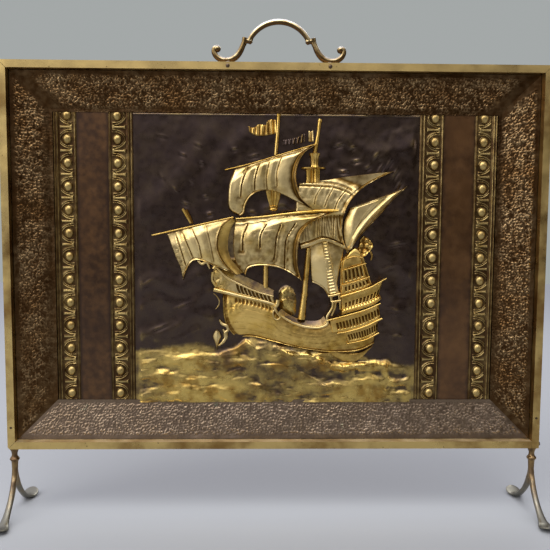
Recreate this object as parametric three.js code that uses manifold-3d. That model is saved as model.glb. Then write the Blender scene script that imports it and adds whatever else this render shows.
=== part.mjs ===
// A free-standing brass fireplace screen, in millimetres, +Z up.
// X runs across the screen, -Y is its front, and the origin is on the floor under the frame's centre.
import * as THREE from "three";
import { mergeVertices } from "three/addons/utils/BufferGeometryUtils.js";
import Module from "manifold-3d";

const wasm = await Module();
wasm.setup();

// ---------------------------------------------------------------- driving dimensions
const frameWidth = 660;
const frameHeight = 470;
const footHeight = 86; // floor to the underside of the frame
const railFace = 9; // width of a rail seen from the front
const railDepth = 22;
const railWall = 1.2;
const gap = 0.3; // clearance between two touching pieces
const mitreGap = 0.25; // what each mitred end gives up
const cornerRadius = 3; // rounded lower left corner of the frame

const borderStepBack = 11; // frame front to the outer edge of the hammered border
const borderLipBack = 20; // frame front to the lip round the opening
const borderMargin = 48; // frame inner edge to the opening
const sheet = 0.8; // sheet brass
const boardThickness = 3;

const plaqueHalf = 175.5; // half the width of the ship panel
const innerStripEdge = 206; // where an inner moulding strip meets the plain band
const outerStripEdge = 244; // where the plain band meets an outer moulding strip
const tuckUnder = 3; // how far the sheets run under the border's lip

const footX = 325.5; // foot axis from the middle of the screen
const handleX = 1.5; // the handle is set a little to the right
const spigotRadius = 1.9;

const halfWidth = frameWidth / 2;
const halfDepth = railDepth / 2;
const frameBottom = footHeight;
const frameTop = footHeight + frameHeight;
const frameMiddle = (frameBottom + frameTop) / 2;
const innerHalfWidth = halfWidth - railFace;
const innerHalfHeight = frameHeight / 2 - railFace;
const openingHalfWidth = innerHalfWidth - borderMargin;
const openingHalfHeight = innerHalfHeight - borderMargin;
const borderFront = borderStepBack - halfDepth;
const lipFront = borderLipBack - halfDepth;
const sheetFront = lipFront + sheet + gap;
const sheetBack = sheetFront + sheet;
const boardFront = halfDepth + gap;
const boardBack = boardFront + boardThickness;

// ---------------------------------------------------------------- finishes
const brass = new THREE.MeshStandardMaterial({ color: 0xa88b4a, roughness: 0.35, metalness: 1 });
const footBrass = new THREE.MeshStandardMaterial({ color: 0x80694a, roughness: 0.45, metalness: 1 });
const darkBrass = new THREE.MeshStandardMaterial({ color: 0x4a3828, roughness: 0.5, metalness: 0.9 });
const reliefBrass = new THREE.MeshStandardMaterial({ color: 0x8f7c45, roughness: 0.4, metalness: 1 });
const steel = new THREE.MeshStandardMaterial({ color: 0x4b4742, roughness: 0.5, metalness: 0.9 });
const hardboard = new THREE.MeshStandardMaterial({ color: 0x5b4332, roughness: 0.9, metalness: 0 });

const screen = new THREE.Group();

// ---------------------------------------------------------------- solid helpers
function solidOf(geometry) {
  const plain = geometry.clone();
  plain.deleteAttribute("normal");
  plain.deleteAttribute("uv");
  const merged = mergeVertices(plain, 1e-4);
  return new wasm.Manifold(
    new wasm.Mesh({
      numProp: 3,
      vertProperties: merged.attributes.position.array,
      triVerts: new Uint32Array(merged.index.array),
    }),
  );
}

function geometryOf(solid) {
  const mesh = solid.getMesh();
  const geometry = new THREE.BufferGeometry();
  geometry.setAttribute("position", new THREE.BufferAttribute(mesh.vertProperties, 3));
  geometry.setIndex(new THREE.BufferAttribute(mesh.triVerts, 1));
  const faceted = geometry.toNonIndexed();
  faceted.computeVertexNormals();
  return faceted;
}

function cut(solid, tools) {
  return tools.reduce((left, tool) => left.subtract(tool), solid);
}

function join(solids) {
  return solids.reduce((whole, part) => whole.add(part));
}

// Drops the specks that a join of nearly touching curved faces leaves.
function wholeBody(solid) {
  const speck = 0.05; // cubic millimetres
  const weld = 0.01; // vertices closer than this become one
  const bodies = solid.decompose().filter((body) => Math.abs(body.volume()) > speck);
  return (bodies.length === 1 ? bodies[0] : solid).setTolerance(weld);
}

function addPiece(name, solid, material) {
  const mesh = new THREE.Mesh(geometryOf(wholeBody(solid)), material);
  mesh.name = name;
  screen.add(mesh);
}

function block(x0, x1, y0, y1, z0, z1) {
  const geometry = new THREE.BoxGeometry(x1 - x0, y1 - y0, z1 - z0);
  geometry.translate((x0 + x1) / 2, (y0 + y1) / 2, (z0 + z1) / 2);
  return solidOf(geometry);
}

// A round bar between two points, or a cone when the end radius differs.
function rod(from, to, radius, sides = 12, endRadius = radius) {
  const start = new THREE.Vector3(...from);
  const run = new THREE.Vector3(...to).sub(start);
  const geometry = new THREE.CylinderGeometry(endRadius, radius, run.length(), sides);
  geometry.translate(0, run.length() / 2, 0);
  geometry.applyQuaternion(
    new THREE.Quaternion().setFromUnitVectors(new THREE.Vector3(0, 1, 0), run.normalize()),
  );
  geometry.translate(...from);
  return solidOf(geometry);
}

// A plate whose outline is drawn in X and Z, from yFront back to yBack.
function plate(points, yFront, yBack) {
  const shape = new THREE.Shape(points.map(([x, z]) => new THREE.Vector2(x, z)));
  const geometry = new THREE.ExtrudeGeometry(shape, { depth: yBack - yFront, bevelEnabled: false });
  geometry.rotateX(Math.PI / 2);
  geometry.translate(0, yBack, 0);
  return solidOf(geometry);
}

// The solid inside a closed skin, whichever way round its triangles were listed.
function closedSkin(positions, index) {
  const geometry = new THREE.BufferGeometry();
  geometry.setAttribute("position", new THREE.Float32BufferAttribute(positions, 3));
  geometry.setIndex(index);
  const skin = solidOf(geometry);
  if (skin.volume() > 0) return skin;
  geometry.setIndex(index.reverse());
  return solidOf(geometry);
}

// A closed skin through rings of equal length; each ring is a list of Vector3.
function loft(rings) {
  const size = rings[0].length;
  const positions = rings.flat().flatMap((p) => [p.x, p.y, p.z]);
  const index = [];
  for (let r = 0; r + 1 < rings.length; r++) {
    for (let i = 0; i < size; i++) {
      const a = r * size + i;
      const b = r * size + ((i + 1) % size);
      index.push(a, b, b + size, a, b + size, a + size);
    }
  }
  const capEnd = (rings.length - 1) * size;
  for (let i = 1; i + 1 < size; i++) {
    index.push(0, i + 1, i);
    index.push(capEnd, capEnd + i, capEnd + i + 1);
  }
  return closedSkin(positions, index);
}

// A bar swept through stations that lie in one plane. Each station is [across, up, halfWidth, halfThickness];
// toPoint turns across and up into a place, and side is the direction at right angles to that plane.
function sweptBar(stations, steps, sides, toPoint, side) {
  const route = new THREE.CatmullRomCurve3(stations.map(([a, u]) => new THREE.Vector3(a, u, 0)));
  const girth = new THREE.CatmullRomCurve3(stations.map(([, , w, t]) => new THREE.Vector3(w, t, 0)));
  const rings = [];
  for (let step = 0; step <= steps; step++) {
    const t = step / steps;
    const at = route.getPoint(t);
    const along = route.getTangent(t);
    const size = girth.getPoint(t);
    const ring = [];
    for (let i = 0; i < sides; i++) {
      const angle = (2 * Math.PI * i) / sides;
      const lift = size.y * Math.sin(angle);
      const point = toPoint(at.x - along.y * lift, at.y + along.x * lift);
      ring.push(point.addScaledVector(side, size.x * Math.cos(angle)));
    }
    rings.push(ring);
  }
  return loft(rings);
}

// ---------------------------------------------------------------- fasteners
const pinHeadRadius = 2.4;
const pinHeadHeight = 1.2;
const handlePinRadius = 1.1;
const handlePinReach = 5; // how far a handle pin passes the spigot's axis
const keyPinRadius = 1.3;
const boardScrewRadius = 1.4;
const boardScrewHead = { radius: 3, height: 1.8 };
const clampScrewRadius = 1.5;
const clampScrewHead = { radius: 2.9, height: 2 };
const handlePinHeight = frameTop - 4.4;
const handleFootX = 61; // handle spigots and their pins, each side of the handle's middle
const keyPinHeights = { left: frameBottom + 27, right: frameBottom + 38.5 };
const clampScrewHeight = frameBottom + 8.5;
const buttScrew = { y: -6, z: frameBottom + railFace / 2, radius: 1.5, head: 3, proud: 3.2, tip: 305 };
const boardScrewInset = railFace / 2;

const boardScrewPlaces = [];
for (const x of [-220, 0, 220]) {
  boardScrewPlaces.push(["top", x, frameTop - boardScrewInset]);
  boardScrewPlaces.push(["bottom", x, frameBottom + boardScrewInset]);
}
for (const z of [frameMiddle - 85, frameMiddle + 85]) {
  boardScrewPlaces.push(["left", -footX, z]);
  boardScrewPlaces.push(["right", footX, z]);
}

function screwHoles(side, radius) {
  return boardScrewPlaces
    .filter(([where]) => where === side)
    .map(([, x, z]) => rod([x, halfDepth - railWall - 1, z], [x, boardBack + 1, z], radius + gap, 10));
}

// ---------------------------------------------------------------- rails
const frameOutline = (() => {
  const shape = new THREE.Shape();
  shape.moveTo(-halfWidth, frameTop);
  shape.lineTo(-halfWidth, frameBottom + cornerRadius);
  shape.absarc(-halfWidth + cornerRadius, frameBottom + cornerRadius, cornerRadius, Math.PI, 1.5 * Math.PI);
  shape.lineTo(halfWidth, frameBottom);
  shape.lineTo(halfWidth, frameTop);
  return plate(shape.getPoints(4).map((p) => [p.x, p.y]), -halfDepth, halfDepth);
})();

function rail(points, hollow, holes) {
  return cut(plate(points, -halfDepth, halfDepth).intersect(frameOutline), [hollow, ...holes]);
}

const hollowHalfDepth = halfDepth - railWall;

function makeRails() {
  const inner = innerHalfWidth;
  const reach = halfWidth + 20;
  const topHollow = block(
    -reach, reach, -hollowHalfDepth, hollowHalfDepth, frameTop - railFace + railWall, frameTop - railWall,
  );
  const bottomHollow = block(
    -reach, inner + 2 * railWall, -hollowHalfDepth, hollowHalfDepth,
    frameBottom + railWall, frameBottom + railFace - railWall,
  );
  const leftHollow = block(
    -halfWidth + railWall, -inner - railWall, -hollowHalfDepth, hollowHalfDepth, 0, frameTop + 20,
  );
  const rightHollow = block(
    inner + railWall, halfWidth - railWall, -hollowHalfDepth, hollowHalfDepth, 0, frameTop + 20,
  );
  const topInner = frameTop - railFace;
  const bottomInner = frameBottom + railFace;
  const handleHoles = [-handleFootX, handleFootX].flatMap((offset) => {
    const x = handleX + offset;
    return [
      rod([x, 0, frameTop - railWall - 1], [x, 0, frameTop + 1], spigotRadius + gap, 12),
      rod([x, -halfDepth - 1, handlePinHeight], [x, 0, handlePinHeight], handlePinRadius + gap, 10),
    ];
  });
  addPiece(
    "top_rail",
    rail(
      [[-halfWidth + mitreGap, frameTop], [-inner + mitreGap, topInner],
        [inner - mitreGap, topInner], [halfWidth - mitreGap, frameTop]],
      topHollow,
      [...handleHoles, ...screwHoles("top", boardScrewRadius)],
    ),
    brass,
  );
  addPiece(
    "bottom_rail",
    rail(
      [[-halfWidth + mitreGap, frameBottom], [inner - mitreGap, frameBottom],
        [inner - mitreGap, bottomInner], [-inner + mitreGap, bottomInner]],
      bottomHollow,
      [
        rod([-footX, 0, frameBottom - 1], [-footX, 0, frameBottom + railWall + 1], spigotRadius + gap, 12),
        ...screwHoles("bottom", boardScrewRadius),
      ],
    ),
    brass,
  );
  const clampHole = (x) =>
    rod([x, hollowHalfDepth - 1, clampScrewHeight], [x, halfDepth + 1, clampScrewHeight],
      clampScrewRadius + gap, 10);
  const keyPinHole = (x, z) =>
    rod([x, -halfDepth - 1, z], [x, 1 - hollowHalfDepth, z], keyPinRadius + gap, 10);
  addPiece(
    "left_stile",
    rail(
      [[-halfWidth, frameBottom + mitreGap], [-inner, bottomInner + mitreGap],
        [-inner, topInner - mitreGap], [-halfWidth, frameTop - mitreGap]],
      leftHollow,
      [clampHole(-footX), keyPinHole(-footX, keyPinHeights.left), ...screwHoles("left", boardScrewRadius)],
    ),
    brass,
  );
  const buttScrewHole = rod(
    [inner - 1, buttScrew.y, buttScrew.z], [halfWidth + 1, buttScrew.y, buttScrew.z],
    buttScrew.radius + gap, 10,
  );
  addPiece(
    "right_stile",
    rail(
      [[inner, frameBottom], [halfWidth, frameBottom],
        [halfWidth, frameTop - mitreGap], [inner, topInner - mitreGap]],
      rightHollow,
      [
        bottomHollow,
        buttScrewHole,
        clampHole(footX),
        keyPinHole(footX, keyPinHeights.right),
        ...screwHoles("right", boardScrewRadius),
      ],
    ),
    brass,
  );
}

// ---------------------------------------------------------------- corner keys and their fasteners
const keyLength = { across: 34, up: 46 };
const spigotDepth = 24; // how far a foot's spigot reaches up into the frame

function cornerKey(sideSign, endSign) {
  const thick = railFace - 2 * railWall - 2 * gap;
  const outX = sideSign * (halfWidth - railWall - gap);
  const outZ = (endSign > 0 ? frameTop : frameBottom) - endSign * (railWall + gap);
  const inX = outX - sideSign * thick;
  const inZ = outZ - endSign * thick;
  const endX = outX - sideSign * keyLength.across;
  const endZ = outZ - endSign * keyLength.up;
  const corners = [[outX, outZ], [endX, outZ], [endX, inZ], [inX, inZ], [inX, endZ], [outX, endZ]];
  const depth = hollowHalfDepth - gap;
  return plate(corners, -depth, depth);
}

function makeCornerKeys() {
  addPiece("corner_key_top_left", cornerKey(-1, 1), steel);
  addPiece("corner_key_top_right", cornerKey(1, 1), steel);
  for (const [side, sign] of [["left", -1], ["right", 1]]) {
    const x = sign * footX;
    const pinZ = keyPinHeights[side];
    const bores = [
      rod([x, 0, frameBottom - 1], [x, 0, frameBottom + spigotDepth + 1], spigotRadius + gap, 12),
      rod([x, 0, clampScrewHeight], [x, halfDepth, clampScrewHeight], clampScrewRadius + gap, 10),
      rod([x, -halfDepth, pinZ], [x, -2, pinZ], keyPinRadius + gap, 10),
    ];
    if (side === "right") {
      bores.push(
        rod([buttScrew.tip - 2, buttScrew.y, buttScrew.z], [halfWidth, buttScrew.y, buttScrew.z],
          buttScrew.radius + gap, 10),
      );
    }
    addPiece("corner_key_bottom_" + side, cut(cornerKey(sign, -1), bores), steel);
    addPiece(
      side + "_key_pin",
      rod([x, -halfDepth, pinZ], [x, -3, pinZ], keyPinRadius, 10),
      steel,
    );
    addPiece(
      side + "_foot_clamp_screw",
      roundHeadScrew(
        [x, halfDepth + gap, clampScrewHeight], [0, 1, 0],
        clampScrewRadius, halfDepth - spigotRadius, clampScrewHead.radius, clampScrewHead.height,
      ),
      steel,
    );
  }
  addPiece(
    "butt_joint_screw",
    roundHeadScrew(
      [halfWidth + gap, buttScrew.y, buttScrew.z], [1, 0, 0],
      buttScrew.radius, halfWidth + gap - buttScrew.tip, buttScrew.head, buttScrew.proud,
    ),
    steel,
  );
}

// A screw seated at a point: the head stands out along the direction and the shank runs the other way.
function roundHeadScrew(seat, outward, shankRadius, shankLength, headRadius, headHeight) {
  const at = new THREE.Vector3(...seat);
  const out = new THREE.Vector3(...outward);
  const tip = at.clone().addScaledVector(out, -shankLength);
  const crown = at.clone().addScaledVector(out, headHeight);
  return join([
    rod(tip.toArray(), at.clone().addScaledVector(out, headHeight / 2).toArray(), shankRadius, 10),
    rod(at.toArray(), crown.toArray(), headRadius, 12, headRadius * 0.55),
  ]);
}

// ---------------------------------------------------------------- handle
// Right half from the middle of the arch to the curled end: across and up from the rail's top, then the
// half depth and half thickness of the bar.
const archRadius = 40.5;
const archRise = 50.3; // centre line of the bar at the middle of the arch
const archEndAngle = 28;
const scrollStations = [
  [39.5, 29.2, 3, 2.7],
  [42.3, 24.5, 3, 2.6],
  [44.6, 18, 3.1, 2.6],
  [48.5, 10.8, 3.3, 2.7],
  [55, 4.8, 3.6, 2.9],
  [63, 2.7, 3.8, 3],
  [71, 4.6, 3.4, 2.7],
  [76.8, 9.4, 3, 2.4],
  [78.6, 15, 2.8, 2.3],
  [76.6, 19.2, 2.8, 2.2],
  [73.6, 18, 2.6, 2],
];
const scrollBall = { across: 74.2, up: 16.8, radius: 4.1 };

// The two collars of a knuckle, each from a lower end to an upper end: across, up and radius.
const knuckleCollars = [
  [[35.2, 26.6, 3.9], [36.6, 31.8, 3.4]],
  [[39.4, 26.8, 3.6], [40.4, 31.4, 4.2]],
];
const handleSpigotDepth = 7.6; // how far the spigots reach down into the top rail
const pinSlack = 0.2; // the pins are thinner than their holes through the spigots
const handleBar = { halfDepth: 2.9, halfThickness: 2.6, steps: 52, sides: 8 };

function makeHandle() {
  const right = [];
  for (const degrees of [90, 78, 66, 54, 42, archEndAngle]) {
    const angle = THREE.MathUtils.degToRad(degrees);
    right.push([
      archRadius * Math.cos(angle), archRise - archRadius + archRadius * Math.sin(angle),
      handleBar.halfDepth, handleBar.halfThickness,
    ]);
  }
  right.push(...scrollStations);
  const left = right.slice(1).reverse().map(([across, up, wide, thick]) => [-across, up, wide, thick]);
  const place = (across, up) => new THREE.Vector3(handleX + across, 0, frameTop + up);
  const depthwise = new THREE.Vector3(0, 1, 0);
  const parts = [sweptBar([...left, ...right], handleBar.steps, handleBar.sides, place, depthwise)];
  for (const sign of [-1, 1]) {
    for (const [[lowX, lowUp, lowRadius], [highX, highUp, highRadius]] of knuckleCollars) {
      parts.push(rod(
        place(sign * lowX, lowUp).toArray(), place(sign * highX, highUp).toArray(),
        lowRadius, 10, highRadius,
      ));
    }
    const ball = new THREE.SphereGeometry(scrollBall.radius, 8, 6);
    ball.translate(...place(sign * scrollBall.across, scrollBall.up).toArray());
    parts.push(solidOf(ball));
  }
  const belowSeat = block(-halfWidth, halfWidth, -halfDepth, halfDepth, 0, frameTop + gap);
  const spigots = [-handleFootX, handleFootX].map((across) => {
    const x = handleX + across;
    return cut(
      rod(place(across, -handleSpigotDepth).toArray(), place(across, handleBar.halfThickness).toArray(),
        spigotRadius, 12),
      [rod([x, -halfDepth, handlePinHeight], [x, halfDepth, handlePinHeight],
        handlePinRadius + pinSlack, 8)],
    );
  });
  addPiece("handle", join([cut(join(parts), [belowSeat]), ...spigots]), brass);
  for (const [side, sign] of [["left", -1], ["right", 1]]) {
    const x = handleX + sign * handleFootX;
    addPiece(
      side + "_handle_pin",
      roundHeadScrew([x, -halfDepth - gap, handlePinHeight], [0, -1, 0],
        handlePinRadius, halfDepth + handlePinReach, pinHeadRadius, pinHeadHeight),
      steel,
    );
  }
}

// ---------------------------------------------------------------- hammered border
// One side of the border: the section is measured inward from its outer edge and back from the front,
// and its ends are mitred as they meet the neighbours.
function borderSide(halfLength, halfAcross) {
  const width = borderMargin - gap;
  const lip = 4; // width of the flat lip
  const underside = 0.16; // extra drop that keeps the sloping sheet at its full thickness
  const section = [
    [0, sheetBack],
    [0, borderFront],
    [width - lip, lipFront],
    [width, lipFront],
    [width, lipFront + sheet],
    [width - lip, lipFront + sheet],
    [sheet, borderFront + sheet + underside],
    [sheet, sheetBack],
  ];
  const end = (sign) =>
    section.map(([inward, back]) =>
      new THREE.Vector3(sign * (halfLength - inward - mitreGap), back, halfAcross - inward),
    );
  const ends = [end(-1), end(1)];
  const count = section.length;
  const index = [];
  for (let i = 0; i < count; i++) {
    const next = (i + 1) % count;
    index.push(i, next + count, next, i, i + count, next + count);
  }
  const flat = section.map(([inward, back]) => new THREE.Vector2(inward, back));
  for (const [a, b, c] of THREE.ShapeUtils.triangulateShape(flat, [])) {
    index.push(a, b, c, a + count, c + count, b + count);
  }
  return closedSkin(ends.flat().flatMap((p) => [p.x, p.y, p.z]), index);
}

function makeBorder() {
  const along = innerHalfWidth - gap;
  const up = innerHalfHeight - gap;
  const sides = [
    ["hammered_border_top", along, up, 0],
    ["hammered_border_right", up, along, Math.PI / 2],
    ["hammered_border_bottom", along, up, Math.PI],
    ["hammered_border_left", up, along, -Math.PI / 2],
  ];
  for (const [name, halfLength, halfAcross, turn] of sides) {
    const side = new THREE.Mesh(geometryOf(borderSide(halfLength, halfAcross)), darkBrass);
    side.name = name;
    side.rotation.y = turn;
    side.position.z = frameMiddle;
    screen.add(side);
  }
}

// ---------------------------------------------------------------- pilasters
const eggPitch = 28.6;
const eggRadius = 5.5;
const firstEgg = 145.5; // height of the highest whole egg above the middle of the panel
const eggCount = 12;
const eggHeight = 3.2;
const eggTipShare = 0.5; // radius of an egg's flat tip, as a share of its base
const dart = { halfLength: 6, halfWidth: 0.9, height: 1.6 };
const bead = { width: 3, height: 1.6, spacing: 3.6 };
const fieldEdge = { from: 3.2, to: 0.8, height: 1.4 }; // ridge beside the plain band
const fieldToEgg = 11.2; // from the plain band's side of a strip to its line of eggs
const reliefOverlap = 0.2; // how far a raised form runs into the sheet
const stripReach = openingHalfHeight + tuckUnder;
const seam = gap / 2; // half the joint between two sheets

// A moulding strip of which the bead side faces toBead (+1 right, -1 left) and runs under the border.
function mouldingStrip(x0, x1, toBead, underBorder) {
  const low = frameMiddle - stripReach;
  const high = frameMiddle + stripReach;
  const clear = openingHalfHeight - 0.5;
  const beadEdge = toBead > 0 ? x1 : x0;
  const at = (fromBead) => beadEdge - toBead * fromBead;
  const ridge = (from, to, height) =>
    block(Math.min(at(from), at(to)), Math.max(at(from), at(to)), sheetFront - height,
      sheetFront + reliefOverlap, frameMiddle - clear, frameMiddle + clear);
  const beadInset = 0.8 + underBorder;
  const parts = [
    block(x0, x1, sheetFront, sheetBack, low, high),
    ridge(beadInset, beadInset + bead.width, bead.height),
    ridge(beadInset + bead.spacing, beadInset + bead.spacing + bead.width, bead.height),
    ridge(x1 - x0 - fieldEdge.from, x1 - x0 - fieldEdge.to, fieldEdge.height),
  ];
  const eggX = at(x1 - x0 - fieldToEgg);
  for (let i = 0; i < eggCount; i++) {
    const z = frameMiddle + firstEgg - i * eggPitch;
    parts.push(rod(
      [eggX, sheetFront + reliefOverlap, z], [eggX, sheetFront - eggHeight, z],
      eggRadius, 8, eggRadius * eggTipShare,
    ));
    const dartZ = z + eggPitch / 2;
    parts.push(block(
      eggX - dart.halfLength, eggX + dart.halfLength, sheetFront - dart.height, sheetFront + reliefOverlap,
      dartZ - dart.halfWidth, dartZ + dart.halfWidth,
    ));
  }
  return join(parts);
}

function makePilasters() {
  const outer = openingHalfWidth + tuckUnder;
  for (const [side, sign] of [["left", -1], ["right", 1]]) {
    const span = (from, to) => [from + seam, to - seam].map((v) => sign * v).sort((a, b) => a - b);
    addPiece(
      "egg_and_dart_inner_" + side, mouldingStrip(...span(plaqueHalf, innerStripEdge), -sign, 0), darkBrass,
    );
    addPiece(
      "egg_and_dart_outer_" + side, mouldingStrip(...span(outerStripEdge, outer), sign, tuckUnder), darkBrass,
    );
    const [x0, x1] = span(innerStripEdge, outerStripEdge);
    addPiece(
      "plain_band_" + side,
      block(x0, x1, sheetFront, sheetBack, frameMiddle - stripReach, frameMiddle + stripReach),
      darkBrass,
    );
  }
}

// ---------------------------------------------------------------- ship panel
// Outlines are in millimetres across and up from the middle of the panel.
function outline(draw, divisions = 4) {
  const shape = new THREE.Shape();
  draw(shape);
  const points = shape.getPoints(divisions);
  if (points[0].distanceTo(points[points.length - 1]) < 0.01) points.pop();
  return THREE.ShapeUtils.isClockWise(points) ? points.reverse() : points;
}

// The outline moved inward by a distance, at most reach at a sharp point.
function inset(points, distance, reach = 1.5 * distance) {
  return points.map((p, i) => {
    const before = points[(i + points.length - 1) % points.length];
    const after = points[(i + 1) % points.length];
    const a = p.clone().sub(before).normalize();
    const b = after.clone().sub(p).normalize();
    const normal = new THREE.Vector2(-(a.y + b.y), a.x + b.x).normalize();
    const spread = Math.max(0.2, normal.x * -a.y + normal.y * a.x);
    return p.clone().addScaledVector(normal, Math.min(distance / spread, reach));
  });
}

// A raised form: the outline at the sheet rises to a smaller outline at the given height.
function raisedForm(points, height, slope, shrink) {
  const foot = inset(points, shrink);
  const top = inset(points, shrink + slope);
  const rootY = shrink > 0 ? sheetBack + 1 : sheetFront + 0.2;
  const topY = sheetFront - height + shrink;
  const count = points.length;
  const positions = [];
  foot.forEach((p) => positions.push(p.x, rootY, frameMiddle + p.y));
  top.forEach((p) => positions.push(p.x, topY, frameMiddle + p.y));
  const index = [];
  for (let i = 0; i < count; i++) {
    const next = (i + 1) % count;
    index.push(i, next, next + count, i, next + count, i + count);
  }
  for (const [a, b, c] of THREE.ShapeUtils.triangulateShape(points, [])) {
    index.push(a, c, b, a + count, b + count, c + count);
  }
  return closedSkin(positions, index);
}

const foreTopsail = outline((s) => {
  s.moveTo(-54, 111);
  s.lineTo(49, 141);
  s.lineTo(49, 138);
  s.quadraticCurveTo(7, 100, 46, 62);
  s.lineTo(43, 61);
  s.quadraticCurveTo(22, 80, -8, 83);
  s.quadraticCurveTo(-38, 86, -39, 52);
  s.lineTo(-44, 52);
  s.quadraticCurveTo(-68, 72, -54, 111);
});
const mainSail = outline((s) => {
  s.moveTo(24, 93);
  s.lineTo(138, 109);
  s.lineTo(138, 106);
  s.quadraticCurveTo(70, 82, 87, 8);
  s.lineTo(83, 8);
  s.quadraticCurveTo(56, 30, 29, 6);
});
const foreCourse = outline((s) => {
  s.moveTo(-52, 48);
  s.lineTo(75, 62);
  s.lineTo(75, 59);
  s.quadraticCurveTo(22, 44, 31, -26);
  s.quadraticCurveTo(-8, -4, -37, -18);
  s.quadraticCurveTo(-62, 6, -52, 48);
});
const foreSail = outline((s) => {
  s.moveTo(-136, 32);
  s.lineTo(-55, 51);
  s.quadraticCurveTo(-90, 22, -46, -14);
  s.quadraticCurveTo(-62, -8, -82, 1);
  s.quadraticCurveTo(-104, 12, -110, -18);
  s.lineTo(-114, -18);
  s.quadraticCurveTo(-122, 10, -136, 32);
});
const mizzenSail = outline((s) => {
  s.moveTo(92, 66);
  s.lineTo(156, 89);
  s.lineTo(157, 86);
  s.quadraticCurveTo(106, 45, 91, 8);
  s.lineTo(87, 8);
  s.quadraticCurveTo(82, 40, 92, 66);
});
const hull = outline((s) => {
  s.moveTo(-75, -9);
  s.quadraticCurveTo(-45, -34, 0, -44);
  s.quadraticCurveTo(8, -82, 58, -84);
  s.lineTo(80, -48);
  s.lineTo(134, -25);
  s.quadraticCurveTo(132, -80, 124, -105);
  s.quadraticCurveTo(60, -122, -55, -96);
  s.quadraticCurveTo(-70, -66, -66, -46);
});
const sternCastle = outline((s) => {
  s.moveTo(80, -50);
  s.lineTo(84, 6);
  s.lineTo(108, 18);
  s.lineTo(119, -34);
});
const backSail = outline((s) => {
  s.moveTo(40, 12);
  s.lineTo(84, 12);
  s.lineTo(80, -36);
  s.quadraticCurveTo(62, -18, 42, -22);
});
const sea = outline((s) => {
  s.moveTo(-173, -114);
  s.quadraticCurveTo(-110, -118, -72, -108);
  s.quadraticCurveTo(-40, -96, 0, -112);
  s.quadraticCurveTo(60, -128, 110, -124);
  s.lineTo(173, -132);
  s.lineTo(173, -174);
  s.lineTo(-173, -174);
});

function bar(x0, z0, x1, z1, width0, width1, height) {
  const from = new THREE.Vector2(x0, z0);
  const to = new THREE.Vector2(x1, z1);
  const across = to.clone().sub(from).normalize().rotateAround(new THREE.Vector2(), Math.PI / 2);
  const corners = [
    from.clone().addScaledVector(across, -width0 / 2),
    to.clone().addScaledVector(across, -width1 / 2),
    to.clone().addScaledVector(across, width1 / 2),
    from.clone().addScaledVector(across, width0 / 2),
  ];
  return raisedForm(corners, height, Math.min(width0, width1) / 4, 0);
}

function makeShipPanel() {
  const forms = [
    [sea, 5, 3],
    [backSail, 4, 3],
    [mainSail, 8, 3],
    [mizzenSail, 10, 3],
    [sternCastle, 9, 3],
    [foreTopsail, 11, 3],
    [foreSail, 12, 3],
    [foreCourse, 14, 3],
    [hull, 13, 4],
  ];
  const reach = openingHalfHeight + tuckUnder;
  const panel = join([
    block(
      -plaqueHalf + seam, plaqueHalf - seam, sheetFront, sheetBack, frameMiddle - reach, frameMiddle + reach,
    ),
    ...forms.map(([points, height, slope]) => raisedForm(points, height, slope, 0)),
  ]);
  const hollows = forms.map(([points, height, slope]) => raisedForm(points, height, slope, sheet));
  const bars = [
    bar(-1, 128, 2, 177, 6, 5, 3), // fore topmast
    bar(48, 96, 53, 172, 7, 4, 4), // main topmast
    bar(-13, -36, -13, -6, 8, 7, 4), // lower foremast
    bar(35, -76, 43, 12, 11, 7, 5), // lower mainmast
    bar(-5, 58, -4, 82, 9, 16, 5), // fore crow's nest
    bar(38, 112, 58, 112, 4, 4, 6), // main crow's nest
    bar(-34, 157, -6, 167, 13, 15, 2), // fore pennant
    bar(8, 141, 42, 149, 9, 11, 2), // main pennant
    bar(-117, 61, -105, 44, 6, 6, 3), // bowsprit
    bar(60, 13, 78, -50, 9, 9, 7), // ratlines
    bar(-66, -74, -70, -106, 7, 4, 3), // anchor
    bar(88, -114, 106, -128, 34, 20, 4), // under the keel
  ];
  addPiece("ship_panel", join([cut(panel, hollows), ...bars]), reliefBrass);
}

// ---------------------------------------------------------------- backing board
const boardInset = 3; // board edge from the frame's outer edge
const boardChamfer = 14; // cut lower corners, which leave the foot clamp screws in reach

function makeBackingBoard() {
  const x = halfWidth - boardInset;
  const low = frameBottom + boardInset;
  const high = frameTop - boardInset;
  const c = boardChamfer;
  const corners = [
    [-x + c, low], [x - c, low], [x, low + c], [x, high], [-x, high], [-x, low + c],
  ];
  const holes = ["top", "bottom", "left", "right"].flatMap((side) => screwHoles(side, boardScrewRadius));
  addPiece("backing_board", cut(plate(corners, boardFront, boardBack), holes), hardboard);
  const numbers = { top: 0, bottom: 0, left: 0, right: 0 };
  for (const [side, atX, atZ] of boardScrewPlaces) {
    numbers[side] += 1;
    addPiece(
      "board_screw_" + side + "_" + numbers[side],
      roundHeadScrew([atX, boardBack + gap, atZ], [0, 1, 0],
        boardScrewRadius, boardThickness + 3, boardScrewHead.radius, boardScrewHead.height),
      steel,
    );
  }
}

// ---------------------------------------------------------------- feet
// Turned stem: radius and height above the floor.
const stemProfile = [
  [0, 46], [3.3, 46], [3.6, 54], [3.8, 62], [4, 66.5], [4.6, 68.4],
  [5.9, 69.8], [5.9, 71.2], [4.6, 72.4], [3.5, 75.5], [3.5, 77.5], [4.2, 80.5],
  [5.9, 83.6], [5.9, footHeight - gap], [spigotRadius, footHeight - gap],
  [spigotRadius, footHeight + spigotDepth], [0, footHeight + spigotDepth],
];
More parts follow.
